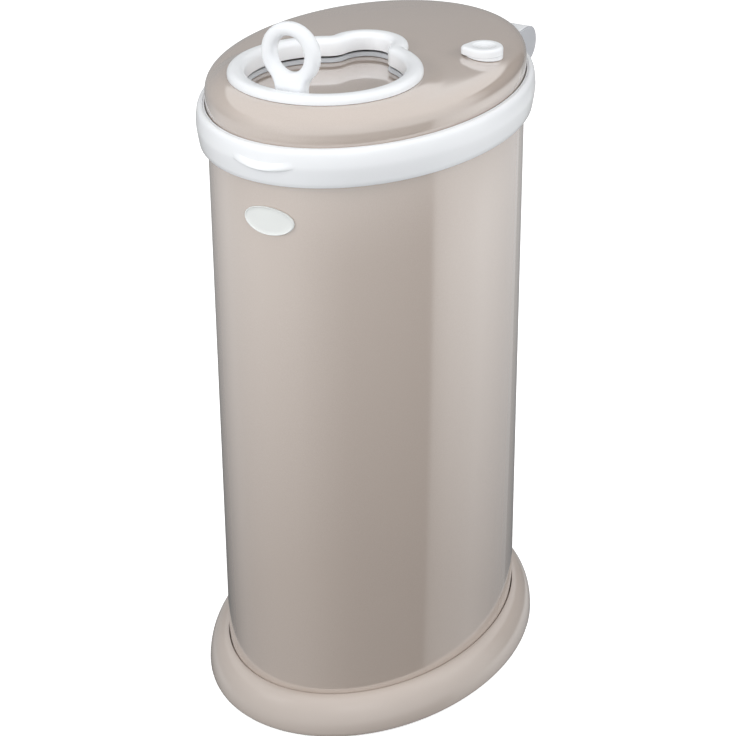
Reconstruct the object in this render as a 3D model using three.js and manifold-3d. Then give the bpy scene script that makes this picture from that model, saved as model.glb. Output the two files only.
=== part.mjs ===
// A free-standing nappy bin: an oval steel body in a moulded base, a hinged lid with a white band,
// a keyhole opening in the lid that a sliding door shuts, and a turning child lock.
// Millimetres, +Z up. The front of the bin looks along -Y and the lid hinge is at the rear, +Y.
import * as THREE from 'three';
import { mergeVertices } from 'three/addons/utils/BufferGeometryUtils.js';
import Module from 'manifold-3d';

const wasm = await Module();
wasm.setup();

// Driving sizes of the oval body
const bodyHalfWidth = 109;
const bodyHalfLength = 151.5;
const shellThickness = 1;
const shellTop = 466;
const seatGap = 0.3;
const cutOverrun = 6;

// Base skirt and floor
const baseTop = 31.5;
const baseFlare = 17;
const baseWidestHeight = 3.5;
const baseLip = 1;
const baseRimHeight = 1.5;
const baseRimInset = 0.8;
const baseRimWidth = 3.2;
const baseWall = 3;
const ledgeTop = 9;
const ledgeThickness = 3.4;
const ledgeWidth = 24;
const socketWall = 2.8;
const panWall = 2;
const panRimHeight = 13;
const panSideGap = 0.7;

// Foot pads
const padRadius = 9;
const padHeadRadius = 4.4;
const padNeckRadius = 3;
const padHeadHeight = 1.8;
const padBevel = 1;
const padInset = 10;
const padCount = 4;

// Rim on the body's top edge and the bag ring inside it
const rimEdgeInset = 0.3;
const rimFlangeThickness = 2;
const rimUpstandRise = 13;
const rimUpstandInset = 9.5;
const rimUpstandWidth = 3.5;
const rimLedgeDrop = 4;
const rimLedgeWidth = 5;
const rimSkirtDepth = 18;
const rimWall = 2.6;
const bagRingThickness = 2.6;
const bagRingDepth = 17;
const bagRingCrown = 2;
const bagRingTaper = 6;

// Lid band, the white collar that carries the lid, with its heights above its own bottom edge
const bandDrop = 2;
const bandHeight = 28;
const bandBottomInner = 5.2;
const bandBottomOuter = 6.4;
const bandInner = 4.5;
const bandWidest = 8.3;
const bandWidestRise = 14;
const bandUpperOuter = 7.4;
const bandUpperRise = 23.5;
const bandTopOuter = 5.2;
const bandTopInner = 1.4;
const bandFlangeRise = 22;
const bandFlangeThickness = 2.7;
const bandFlangeInner = -8;
const bandCorner = 1.6;

// Finger tab on the band's front
const tabHalfWidth = 27;
const tabReach = 3.6;
const tabRise = 11.3;
const tabHeight = 8;
const tabEndRise = 3.2;
const tabEdge = 0.9;
const tabRoot = 3;

// Crowned steel lid cap
const capThickness = 1.2;
const capWallOffset = 1;
const capWallRise = 5;
const capShoulderWidth = 20;
const capShoulderPower = 3.6;
const capCrownRise = 21.4;
const capCrownDrop = 6;
const capHemWidth = 7.4;
const crownLoopShare = 0.42;

// Keyhole opening: a round mouth with a rear lobe that the door handle parks in
const mouthRadius = 64.9;
const mouthFrontInset = 20.3;
const lobeRadius = 25;
const lobeOverlap = 2.6;
const notchRadius = 10;
const beadHalfWidth = 6.5;
const beadHeight = 6.5;
const beadFullness = 0.8;
const bezelWall = 2;

// Sliding door and its seal
const doorRise = 5;
const doorThickness = 2.5;
const doorSideLap = 3.1;
const doorRearInset = 9;
const doorRearGap = 5;
const sealHeight = 1.9;
const sealWidth = 3;
const sealInset = 0.4;
const shoeLength = 16;
const shoeWidth = 5;
const shoeSideInset = 1.5;
const shoeRearInset = 7.7;
const shoeSpacing = 34.8;

// Loop handle on the door
const handleFrontInset = 17;
const loopRadius = 23.2;
const loopRise = 41;
const holeHalfWidth = 11.9;
const holeHalfHeight = 13.3;
const handleThickness = 11;
const handleRound = 4;
const neckHalfWidth = 14.5;
const neckFillet = 15;
const handleStopGap = 4.2;

// Lid liner: the door's tray with its side rails
const linerFlangeOuter = -2.5;
const linerFlangeThickness = 2.7;
const linerWallOffset = -14;
const linerWall = 2.2;
const trayRise = 3;
const trayThickness = 2.4;
const railGap = 0.8;
const railWidth = 3.2;
const railLip = 4;
const railLipThickness = 1.6;
const railLipGap = 0.4;
const railEndInset = 4;
const gasketHeight = 3.4;
const gasketInset = 0.3;

// Child lock: knob, bush, nut and lever
const lockSideInset = 27;
const lockRearInset = 123;
const knobRadius = 14.2;
const knobHeight = 5.8;
const knobNoseRadius = 7;
const knobNoseReach = 10.3;
const knobNoseAngle = 210;
const knobEdge = 2;
const dishRadius = 8.5;
const dishDepth = 0.9;
const stemRadius = 4;
const stemGap = 0.3;
const bushWall = 2;
const bushFlangeRadius = 13.9;
const nutAcross = 10;
const nutThickness = 3.2;
const tenonHalfWidth = 2.2;
const tenonLength = 2;
const leverLength = 36.5;
const leverTipRadius = 4.5;
const leverHubRadius = 7;
const leverThickness = 3.2;
const leverRise = 0.4;
const leverRestAngle = 281.7;
const leverSwing = 45;
const leverClearance = 3;

// Lid hinge
const hingeReach = 10.5;
const hingeRise = 17.5;
const housingRadius = 14.4;
const housingHalfLength = 58.5;
const knuckleRadius = 10.5;
const knuckleHalfLength = 29.2;
const knuckleSideGap = 0.8;
const knuckleGap = 0.8;
const housingFront = 5.5;
const hingePinRadius = 3;
const hingePinGap = 0.3;
const endCoverThickness = 2;
const bracketPadHeight = 26;
const bracketPadDrop = 4;
const bracketPadThickness = 5;
const bracketRoot = 14;

// Screws
const screwRadius = 1.5;
const screwHeadRadius = 3;
const screwHeadHeight = 1.4;
const screwHeadEdge = 0.8;
const screwGap = 0.3;
const linerScrewCount = 6;
const linerScrewOffset = -5.3;
const bracketScrewSpacing = 34;
const bracketScrewDrop = 16.25;
const bracketScrewGrip = 7;
const handleScrewSpacing = 14;
const handleScrewGrip = 9;
const lockScrewGrip = 7;

// Front badge plate
const badgeHalfWidth = 20.4;
const badgeHalfHeight = 10.7;
const badgeDrop = 32.4;
const badgeThickness = 1.3;
const badgeRimWidth = 1.5;
const badgeRimStep = 0.4;
const badgeCentreShare = 0.03;
const badgeMiddleShare = 0.5;
const badgeStepShare = 0.97;

// Counts of facets
const ovalSides = 44;
const hiddenSides = 32;
const mouthSteps = 30;
const notchSteps = 3;
const lobeSteps = 12;
const shoulderSteps = 5;
const innerShoulderSteps = 3;
const beadSteps = 5;
const flareSteps = 4;
const screwSides = 8;
const padSides = 10;
const boreSides = 16;
const roundSides = 20;
const badgeSides = 18;
const tabSteps = 10;
const edgeSteps = 2;
const doorFrontSides = 48;
const doorRearSides = 72;
const shoeSteps = 2;
const handleSteps = 7;
const knobSteps = 7;
const arcSteps = 10;
const dishSides = 16;
const dishRings = 8;
const nutSides = 6;
const weldTolerance = 1e-4;

const degrees = Math.PI / 180;

// What fits takes its place from the sizes above
const rimUpstandTop = shellTop + rimUpstandRise;
const rimLedgeTop = shellTop - rimLedgeDrop;
const bandBottom = shellTop - bandDrop;
const bandTop = bandBottom + bandHeight;
const bandWidestHeight = bandBottom + bandWidestRise;
const bandUpperHeight = bandBottom + bandUpperRise;
const bandFlangeBottom = bandBottom + bandFlangeRise;
const tabBottom = bandBottom + tabRise;
const tabTop = tabBottom + tabHeight;
const capWallTop = bandTop + capWallRise;
const capCrownTop = capWallTop + capCrownRise;
const trayTop = capWallTop + trayRise;
const doorTop = trayTop + doorRise;
const mouthCentreY = mouthRadius + mouthFrontInset - bodyHalfLength;
const lobeCentreY = mouthCentreY + mouthRadius - lobeOverlap;
const doorHalfWidth = mouthRadius + doorSideLap;
const handleY = mouthCentreY - mouthRadius + handleFrontInset;
const loopCentreZ = doorTop + loopRise;
const lockX = bodyHalfWidth - lockSideInset;
const lockY = bodyHalfLength - lockRearInset;
const hingeY = bodyHalfLength + hingeReach;
const hingeZ = bandBottom + hingeRise;
const bracketPadTop = shellTop - bracketPadDrop;
const bracketScrewZ = bracketPadTop - bracketScrewDrop;
const badgeCentreZ = shellTop - badgeDrop;
const capSeat = bandFlangeBottom + bandFlangeThickness + seatGap;
const linerFlangeTop = bandFlangeBottom - seatGap;
const linerFlangeBottom = linerFlangeTop - linerFlangeThickness;
const doorBottom = doorTop - doorThickness;
const sealTop = doorTop + seatGap + sealHeight;
const lobeInnerRadius = lobeRadius - beadHalfWidth;
const parkedHandleY = lobeCentreY + Math.sqrt(lobeInnerRadius ** 2 - neckHalfWidth ** 2) - handleStopGap;
const doorTravel = parkedHandleY - handleY;
const railInner = doorHalfWidth + railGap;
const railOuter = railInner + railWidth;
const railTop = doorTop + railLipGap + railLipThickness;
const leverTop = doorTop + leverRise;
const leverBottom = leverTop - leverThickness;

// Colours and surface of each material
const finishes = {
  champagne: { color: 0xb8ab9e, roughness: 0.28, metalness: 0.35 },
  base: { color: 0xd3c9c0, roughness: 0.3, metalness: 0 },
  white: { color: 0xf2f4f6, roughness: 0.22, metalness: 0 },
  grey: { color: 0xbfc1c6, roughness: 0.4, metalness: 0 },
  inner: { color: 0xe6e6e4, roughness: 0.5, metalness: 0 },
  rubber: { color: 0x6f7377, roughness: 0.8, metalness: 0 },
  foot: { color: 0x3a3a3c, roughness: 0.9, metalness: 0 },
  steel: { color: 0xb9bcc0, roughness: 0.3, metalness: 1 },
  badge: { color: 0xf0ede8, roughness: 0.25, metalness: 0 },
};

function piece(name, geometry, finish) {
  const mesh = new THREE.Mesh(geometry, new THREE.MeshStandardMaterial(finishes[finish]));
  mesh.name = name;
  return mesh;
}

// Solids and their joining and cutting
function welded(geometry) {
  const copy = geometry.clone();
  copy.deleteAttribute('normal');
  copy.deleteAttribute('uv');
  const merged = mergeVertices(copy, weldTolerance);
  const corners = merged.index.array;
  const kept = [];
  for (let i = 0; i < corners.length; i += 3) {
    const [a, b, c] = [corners[i], corners[i + 1], corners[i + 2]];
    if (a !== b && b !== c && c !== a) {
      kept.push(a, b, c);
    }
  }
  merged.setIndex(kept);
  return merged;
}

function asManifold(geometry) {
  const source = welded(geometry);
  return new wasm.Manifold(new wasm.Mesh({
    numProp: 3,
    vertProperties: new Float32Array(source.attributes.position.array),
    triVerts: new Uint32Array(source.index.array),
  }));
}

function asGeometry(solid) {
  const mesh = solid.getMesh();
  const geometry = new THREE.BufferGeometry();
  geometry.setAttribute('position', new THREE.BufferAttribute(new Float32Array(mesh.vertProperties), 3));
  geometry.setIndex(new THREE.BufferAttribute(new Uint32Array(mesh.triVerts), 1));
  return geometry;
}

function joined(first, ...others) {
  return asGeometry(others.reduce((sum, next) => sum.add(asManifold(next)), asManifold(first)));
}

function shared(first, second) {
  return asGeometry(asManifold(first).intersect(asManifold(second)));
}

function cut(first, ...tools) {
  return asGeometry(tools.reduce((rest, tool) => rest.subtract(asManifold(tool)), asManifold(first)));
}

// A closed body through loops of points: the last loop joins the first, or both ends are capped
function loft(loops, capped) {
  const count = loops[0].length;
  const points = loops.flat();
  const faces = [];
  const spans = capped ? loops.length - 1 : loops.length;
  for (let i = 0; i < spans; i += 1) {
    const here = i * count;
    const next = ((i + 1) % loops.length) * count;
    for (let j = 0; j < count; j += 1) {
      const k = (j + 1) % count;
      faces.push(here + j, here + k, next + k, here + j, next + k, next + j);
    }
  }
  if (capped) {
    closeEnd(points, faces, loops[0], 0, true);
    closeEnd(points, faces, loops[loops.length - 1], (loops.length - 1) * count, false);
  }
  const geometry = new THREE.BufferGeometry();
  geometry.setAttribute('position', new THREE.Float32BufferAttribute(points.flatMap((p) => [p.x, p.y, p.z]), 3));
  geometry.setIndex(volume(points, faces) < 0 ? reversed(faces) : faces);
  return geometry;
}

function closeEnd(points, faces, loop, start, first) {
  const centre = loop.reduce((sum, p) => sum.add(p), new THREE.Vector3()).divideScalar(loop.length);
  const middle = points.push(centre) - 1;
  for (let j = 0; j < loop.length; j += 1) {
    const k = (j + 1) % loop.length;
    faces.push(...(first ? [start + k, start + j, middle] : [start + j, start + k, middle]));
  }
}

function volume(points, faces) {
  let sum = 0;
  for (let i = 0; i < faces.length; i += 3) {
    const [a, b, c] = [points[faces[i]], points[faces[i + 1]], points[faces[i + 2]]];
    sum += a.dot(b.clone().cross(c));
  }
  return sum;
}

function reversed(faces) {
  const turned = [];
  for (let i = 0; i < faces.length; i += 3) {
    turned.push(faces[i], faces[i + 2], faces[i + 1]);
  }
  return turned;
}

// The body's oval, grown or shrunk by an offset, at a height that may follow the crown
function oval(offset, height, sides = ovalSides) {
  const loop = [];
  for (let i = 0; i < sides; i += 1) {
    const angle = (i / sides) * 2 * Math.PI;
    const x = (bodyHalfWidth + offset) * Math.cos(angle);
    const y = (bodyHalfLength + offset) * Math.sin(angle);
    loop.push(new THREE.Vector3(x, y, typeof height === 'function' ? height(x, y) : height));
  }
  return loop;
}

function ovalRing(profile, sides) {
  return loft(profile.map(([offset, height]) => oval(offset, height, sides)), false);
}

function ovalPlate(profile, sides) {
  return loft(profile.map(([offset, height]) => oval(offset, height, sides)), true);
}

function ovalPoint(offset, angle) {
  return [
    (bodyHalfWidth + offset) * Math.cos(angle * degrees),
    (bodyHalfLength + offset) * Math.sin(angle * degrees),
  ];
}

function crown(x, y) {
  return capCrownTop - capCrownDrop * ((x / bodyHalfWidth) ** 2 + (y / bodyHalfLength) ** 2);
}

// The offset of the oval that runs through a point
function ovalOffset(x, y) {
  let offset = 0;
  for (let i = 0; i < shoulderSteps; i += 1) {
    const [a, b] = [bodyHalfWidth + offset, bodyHalfLength + offset];
    const stretch = Math.hypot(x / a, y / b);
    offset += ((stretch - 1) * stretch) / ((x * x) / a ** 3 + (y * y) / b ** 3);
  }
  return offset;
}

// The lid's top surface, with its soft shoulder near the edge
function lidTop(x, y) {
  const turn = capWallOffset - capShoulderWidth;
  if (Math.hypot(x / (bodyHalfWidth + turn), y / (bodyHalfLength + turn)) < 1) {
    return crown(x, y);
  }
  const across = Math.min(1, (ovalOffset(x, y) - turn) / capShoulderWidth);
  return capWallTop + (crown(x, y) - capWallTop) * (1 - across ** capShoulderPower) ** (1 / capShoulderPower);
}

// The keyhole's outline: mouth arc, notch, lobe arc and notch, all grown by the same offset
function keyhole(offset, height) {
  const reach = lobeCentreY - mouthCentreY;
  const toMouth = mouthRadius + notchRadius;
  const toLobe = lobeRadius + notchRadius;
  const notchY = (toMouth ** 2 - toLobe ** 2 + reach ** 2) / (2 * reach);
  const notchX = Math.sqrt(toMouth ** 2 - notchY ** 2);
  const mouthAngle = Math.atan2(notchY, notchX);
  const lobeAngle = Math.atan2(notchY - reach, notchX);
  const loop = [];
  const arc = (x, y, radius, from, to, steps) => {
    for (let i = 0; i < steps; i += 1) {
      const angle = from + ((to - from) * i) / steps;
      const px = x + radius * Math.cos(angle);
      const py = y + radius * Math.sin(angle);
      loop.push(new THREE.Vector3(px, py, typeof height === 'function' ? height(px, py) : height));
    }
  };
  arc(0, mouthCentreY, mouthRadius + offset, Math.PI - mouthAngle, 2 * Math.PI + mouthAngle, mouthSteps);
  arc(notchX, mouthCentreY + notchY, notchRadius - offset, Math.PI + mouthAngle, Math.PI + lobeAngle, notchSteps);
  arc(0, lobeCentreY, lobeRadius + offset, lobeAngle, Math.PI - lobeAngle, lobeSteps);
  arc(-notchX, mouthCentreY + notchY, notchRadius - offset, -lobeAngle, -mouthAngle, notchSteps);
  return loop;
}

function keyholePrism(offset, bottom, top) {
  return loft([keyhole(offset, bottom), keyhole(offset, top)], true);
}

// Small standard shapes
function upright(radius, bottom, top, x = 0, y = 0, sides = screwSides) {
  const geometry = new THREE.CylinderGeometry(radius, radius, top - bottom, sides);
  geometry.rotateX(Math.PI / 2);
  geometry.translate(x, y, (bottom + top) / 2);
  return geometry;
}

function alongX(radius, left, right, y, z, sides = roundSides) {
  const geometry = new THREE.CylinderGeometry(radius, radius, right - left, sides);
  geometry.rotateZ(Math.PI / 2);
  geometry.translate((left + right) / 2, y, z);
  return geometry;
}

function box(x0, x1, y0, y1, z0, z1) {
  const geometry = new THREE.BoxGeometry(x1 - x0, y1 - y0, z1 - z0);
  geometry.translate((x0 + x1) / 2, (y0 + y1) / 2, (z0 + z1) / 2);
  return geometry;
}

// A flat outline in the YZ plane, pulled along X
function pulledAlongX(outline, left, right) {
  const geometry = new THREE.ExtrudeGeometry(outline, {
    depth: right - left, bevelEnabled: false, curveSegments: arcSteps,
  });
  geometry.applyMatrix4(new THREE.Matrix4().set(
    0, 0, 1, left,
    1, 0, 0, 0,
    0, 1, 0, 0,
    0, 0, 0, 1,
  ));
  return geometry;
}

// A pan-head screw that points along +Z, with its head's underside at its origin
function screwGeometry(grip) {
  const profile = [
    new THREE.Vector2(0, -screwHeadHeight),
    new THREE.Vector2(screwHeadRadius - screwHeadEdge, -screwHeadHeight),
    new THREE.Vector2(screwHeadRadius, 0),
    new THREE.Vector2(screwRadius, 0),
    new THREE.Vector2(screwRadius, grip - screwRadius),
    new THREE.Vector2(0, grip),
  ];
  const geometry = new THREE.LatheGeometry(profile, screwSides);
  geometry.rotateX(Math.PI / 2);
  return welded(geometry);
}

// Body, base and floor
function bodyShell() {
  return ovalRing([
    [0, ledgeTop + seatGap],
    [0, shellTop],
    [-shellThickness, shellTop],
    [-shellThickness, ledgeTop + seatGap],
  ]);
}

function baseSkirt() {
  const reach = baseFlare - baseLip;
  const rise = baseTop - baseWidestHeight;
  const outer = [];
  const inner = [];
  for (let i = 0; i <= flareSteps; i += 1) {
    const angle = (1 - i / flareSteps) * 90 * degrees;
    outer.push([baseLip + reach * Math.cos(angle), baseWidestHeight + rise * Math.sin(angle)]);
  }
  for (let i = flareSteps - 1; i >= 2; i -= 1) {
    const angle = (1 - i / flareSteps) * 90 * degrees;
    inner.push([
      baseLip + (reach - baseWall) * Math.cos(angle),
      baseWidestHeight + (rise - baseWall) * Math.sin(angle),
    ]);
  }
  const socketOuter = seatGap + socketWall;
  const ring = ovalRing([
    [seatGap, baseTop],
    ...outer,
    [baseFlare - baseRimInset, baseRimHeight],
    [baseFlare - baseRimWidth, baseRimHeight],
    ...inner,
    [socketOuter, ledgeTop + panRimHeight],
    [socketOuter, ledgeTop - ledgeThickness],
    [-ledgeWidth, ledgeTop - ledgeThickness],
    [-ledgeWidth, ledgeTop],
    [seatGap, ledgeTop],
  ]);
  const holes = padPlaces().map(([x, y]) => upright(
    padNeckRadius + screwGap, ledgeTop - ledgeThickness - cutOverrun, ledgeTop + cutOverrun, x, y,
  ));
  return cut(ring, ...holes);
}

function padPlaces() {
  return Array.from({ length: padCount }, (_, i) => ovalPoint(-padInset, ((i + 0.5) / padCount) * 360));
}

function footPad() {
  const top = ledgeTop - ledgeThickness - seatGap;
  const headBottom = ledgeTop + seatGap;
  const profile = [
    new THREE.Vector2(0, 0),
    new THREE.Vector2(padRadius - padBevel, 0),
    new THREE.Vector2(padRadius, top),
    new THREE.Vector2(padNeckRadius, top),
    new THREE.Vector2(padNeckRadius, headBottom),
    new THREE.Vector2(padHeadRadius, headBottom),
    new THREE.Vector2(padNeckRadius, headBottom + padHeadHeight),
    new THREE.Vector2(0, headBottom + padHeadHeight),
  ];
  const geometry = new THREE.LatheGeometry(profile, padSides);
  geometry.rotateX(Math.PI / 2);
  return welded(geometry);
}

function floorPan() {
  const outer = -shellThickness - panSideGap;
  const bottom = ledgeTop + seatGap;
  const ring = ovalPlate([
    [outer, bottom],
    [outer, bottom + panRimHeight],
    [outer - panWall, bottom + panRimHeight],
    [outer - panWall, bottom + panWall],
  ], hiddenSides);
  const wells = padPlaces().map(([x, y]) => upright(
    padHeadRadius + screwGap, bottom - cutOverrun, bottom + panWall + cutOverrun, x, y,
  ));
  return cut(ring, ...wells);
}

// Rim and bag ring
function topRim() {
  const skirtOuter = -shellThickness - seatGap;
  const skirtInner = skirtOuter - rimWall;
  const upstandInner = -rimUpstandInset - rimUpstandWidth;
  const flangeBottom = shellTop + seatGap;
  return ovalRing([
    [-rimEdgeInset, flangeBottom],
    [-rimEdgeInset, flangeBottom + rimFlangeThickness],
    [-rimUpstandInset, flangeBottom + rimFlangeThickness],
    [-rimUpstandInset, rimUpstandTop],
    [upstandInner, rimUpstandTop],
    [upstandInner, rimLedgeTop],
    [upstandInner - rimLedgeWidth, rimLedgeTop],
    [upstandInner - rimLedgeWidth, rimLedgeTop - rimWall],
    [skirtInner, rimLedgeTop - rimWall],
    [skirtInner, shellTop - rimSkirtDepth],
    [skirtOuter, shellTop - rimSkirtDepth],
    [skirtOuter, flangeBottom],
  ]);
}

function bagRing() {
  const outer = -rimUpstandInset - rimUpstandWidth - seatGap * 2;
  const bottom = rimLedgeTop + seatGap;
  const throat = outer - rimLedgeWidth - seatGap;
  return ovalRing([
    [outer, bottom],
    [outer, bottom + bagRingThickness],
    [throat, bottom + bagRingThickness + bagRingCrown],
    [throat - bagRingThickness, bottom + bagRingThickness],
    [throat - bagRingThickness - bagRingTaper, bottom - bagRingDepth],
    [throat - bagRingTaper, bottom - bagRingDepth],
    [throat, bottom],
  ], hiddenSides);
}

// Lid band with its finger tab and hinge housings
function lidBand() {
  const flangeTop = bandFlangeBottom + bandFlangeThickness;
  const collar = ovalRing([
    [bandBottomOuter, bandBottom],
    [(bandBottomOuter + bandWidest) / 2, (bandBottom + bandWidestHeight) / 2 - bandCorner],
    [bandWidest, bandWidestHeight],
    [bandUpperOuter, bandUpperHeight],
    [bandTopOuter + bandCorner / 2, bandTop - bandCorner / 2],
    [bandTopOuter - bandCorner, bandTop],
    [bandTopInner, bandTop],
    [bandTopInner, flangeTop],
    [bandFlangeInner, flangeTop],
    [bandFlangeInner, bandFlangeBottom],
    [bandInner, bandFlangeBottom],
    [bandInner, bandWidestHeight],
    [bandBottomInner, bandBottom],
  ]);
  const housings = [-1, 1].map((side) => hingeHousing(side));
  return cut(
    joined(collar, fingerTab(), ...housings),
    box(
      -knuckleHalfLength - knuckleSideGap, knuckleHalfLength + knuckleSideGap,
      hingeY - housingRadius - cutOverrun, hingeY + housingRadius + cutOverrun,
      bandBottom - cutOverrun, bandFlangeBottom,
    ),
    alongX(
      knuckleRadius + knuckleGap,
      -knuckleHalfLength - knuckleSideGap, knuckleHalfLength + knuckleSideGap, hingeY, hingeZ,
    ),
    alongX(
      hingePinRadius + hingePinGap, -housingHalfLength - cutOverrun, housingHalfLength + cutOverrun,
      hingeY, hingeZ, screwSides,
    ),
    ...linerScrewHoles(bandFlangeBottom - cutOverrun / 2, flangeTop + cutOverrun / 2),
  );
}

function fingerTab() {
  const level = (height, reach) => {
    const front = [];
    const back = [];
    for (let i = 0; i <= tabSteps; i += 1) {
      const share = (2 * i) / tabSteps - 1;
      const x = share * tabHalfWidth;
      const swell = reach * Math.cos((share * Math.PI) / 2);
      const across = (offset) => -(bodyHalfLength + offset)
        * Math.sqrt(1 - (x / (bodyHalfWidth + offset)) ** 2);
      const z = height + tabEndRise * (1 - Math.cos((share * Math.PI) / 2));
      front.push(new THREE.Vector3(x, across(bandWidest - tabEdge + swell), z));
      back.unshift(new THREE.Vector3(x, across(bandWidest - tabRoot), z));
    }
    return [...front, ...back];
  };
  return loft([
    level(tabBottom, tabReach),
    level(tabBottom + tabEdge, tabReach + tabEdge / 2),
    level(tabBottom + 2 * tabEdge, tabReach),
    level(tabTop, 0),
  ], true);
}

function housingOutline(radius, front) {
  const outline = new THREE.Shape();
  outline.moveTo(front, hingeZ - radius);
  outline.lineTo(hingeY, hingeZ - radius);
  outline.absarc(hingeY, hingeZ, radius, -Math.PI / 2, Math.PI / 2, false);
  outline.lineTo(front, hingeZ + radius);
  outline.closePath();
  return outline;
}

function hingeHousing(side) {
  const inner = side * (knuckleHalfLength + knuckleSideGap);
  const outer = side * (housingHalfLength - endCoverThickness - seatGap);
  const front = hingeY - housingRadius * 2;
  const block = pulledAlongX(
    housingOutline(housingRadius, front), Math.min(inner, outer), Math.max(inner, outer),
  );
  return cut(block, ovalPlate([
    [housingFront, hingeZ - housingRadius - cutOverrun],
    [housingFront, hingeZ + housingRadius + cutOverrun],
  ]));
}

function hingeEndCover(side) {
  const outer = side * housingHalfLength;
  const inner = side * (housingHalfLength - endCoverThickness);
  const across = Math.abs(inner) / (bodyHalfWidth + bandWidest);
  const front = (bodyHalfLength + bandWidest) * Math.sqrt(1 - across ** 2) + seatGap;
  const outline = housingOutline(housingRadius, front);
  return pulledAlongX(outline, Math.min(inner, outer), Math.max(inner, outer));
}

function linerScrewPlaces() {
  return Array.from({ length: linerScrewCount }, (_, i) => (
    ovalPoint(linerScrewOffset, (i / linerScrewCount) * 360)
  ));
}

function linerScrewHoles(bottom, top) {
  return linerScrewPlaces().map(([x, y]) => upright(screwRadius + screwGap, bottom, top, x, y));
}

// Lid cap: a pressed sheet with a crowned top, a soft shoulder, a short wall and a hem inside
function capSurface(inset, steps) {
  const wall = capWallOffset - inset;
  const turn = capWallOffset - capShoulderWidth;
  const loops = [];
  for (let i = 0; i <= steps; i += 1) {
    const angle = (i / steps) * 90 * degrees;
    const across = Math.cos(angle) ** (2 / capShoulderPower);
    const up = Math.sin(angle) ** (2 / capShoulderPower);
    const offset = turn + (wall - turn) * across;
    loops.push(oval(offset, (x, y) => capWallTop + (crown(x, y) - inset - capWallTop) * up));
  }
  const middle = turn - crownLoopShare * bodyHalfWidth;
  loops.push(oval(middle, (x, y) => crown(x, y) - inset));
  return loops;
}

function lidCap() {
  const wall = capWallOffset;
  const inner = wall - capThickness;
  const sheet = loft([
    ...capSurface(0, shoulderSteps).reverse(),
    oval(wall, capSeat),
    oval(inner - capHemWidth, capSeat),
    oval(inner - capHemWidth, capSeat + capThickness),
    oval(inner, capSeat + capThickness),
    ...capSurface(capThickness, innerShoulderSteps),
  ], true);
  return cut(
    sheet,
    keyholePrism(bezelWall - beadHalfWidth + seatGap, capWallTop, capCrownTop + cutOverrun),
    upright(
      stemRadius + stemGap + bushWall + seatGap, capWallTop, capCrownTop + cutOverrun, lockX, lockY, roundSides,
    ),
    ...linerScrewHoles(capSeat - cutOverrun, capSeat + cutOverrun / 2),
  );
}

// Bezel and seal of the keyhole opening
function keyholeBezel() {
  const seat = (x, y) => lidTop(x, y) + seatGap;
  const loops = [];
  for (let i = 0; i <= beadSteps; i += 1) {
    const angle = (i / beadSteps) * 180 * degrees;
    const rise = beadHeight * Math.sin(angle) ** beadFullness;
    loops.push(keyhole(beadHalfWidth * Math.cos(angle), (x, y) => seat(x, y) + rise));
  }
  loops.push(keyhole(-beadHalfWidth, sealTop + seatGap));
  loops.push(keyhole(bezelWall - beadHalfWidth, sealTop + seatGap));
  loops.push(keyhole(bezelWall - beadHalfWidth, seat));
  loops.push(keyhole(bezelWall / 2, seat));
  return loft(loops, false);
}

function openingSeal() {
  const inner = sealInset - beadHalfWidth;
  return loft([
    keyhole(inner, doorTop + seatGap),
    keyhole(inner + sealWidth, doorTop + seatGap),
    keyhole(inner + sealWidth, sealTop),
    keyhole(inner, sealTop),
  ], false);
}

// Liner under the cap, with the door's tray, mouth and side rails
function lidLiner() {
  const inner = linerWallOffset - linerWall;
  const hat = ovalPlate([
    [linerWallOffset, trayTop],
    [linerWallOffset, linerFlangeTop],
    [linerFlangeOuter, linerFlangeTop],
    [linerFlangeOuter, linerFlangeBottom],
    [inner, linerFlangeBottom],
    [inner, trayTop - trayThickness],
  ]);
  const parts = [-1, 1].flatMap((side) => rail(side));
  const lockGap = box(
    railInner - railLip - cutOverrun, railOuter + cutOverrun,
    leverReachLow(), lockY + leverHubRadius + leverClearance, trayTop + seatGap, railTop + cutOverrun,
  );
  return cut(
    joined(cut(hat, keyholePrism(-beadHalfWidth, trayTop - cutOverrun, trayTop + cutOverrun)), ...parts),
    lockGap,
    ...linerScrewHoles(linerFlangeBottom - cutOverrun, linerFlangeTop + cutOverrun / 2),
  );
}

// The lever sweeps lowest where it comes in over the rail
function leverReachLow() {
  const across = railOuter - railWidth - railLip / 2;
  const angle = Math.acos((lockX - across) / leverLength);
  return lockY - leverLength * Math.sin(angle) - leverTipRadius - leverClearance;
}

function rail(side) {
  const reach = (bodyHalfLength + linerWallOffset)
    * Math.sqrt(1 - (railOuter / (bodyHalfWidth + linerWallOffset)) ** 2) - railEndInset;
  const span = (from, to) => [Math.min(side * from, side * to), Math.max(side * from, side * to)];
  const foot = trayTop - trayThickness / 2;
  return [
    box(...span(railInner, railOuter), -reach, reach, foot, railTop),
    box(...span(railInner - railGap - railLip, railInner + railWidth / 2), -reach, reach,
      railTop - railLipThickness, railTop),
  ];
}

function lidGasket() {
  const outer = -rimUpstandInset - gasketInset;
  const inner = -rimUpstandInset - rimUpstandWidth + gasketInset;
  const top = linerFlangeBottom - seatGap;
  return ovalRing([
    [outer, top],
    [outer, top - gasketHeight],
    [inner, top - gasketHeight],
    [inner, top],
  ], hiddenSides);
}

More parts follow.
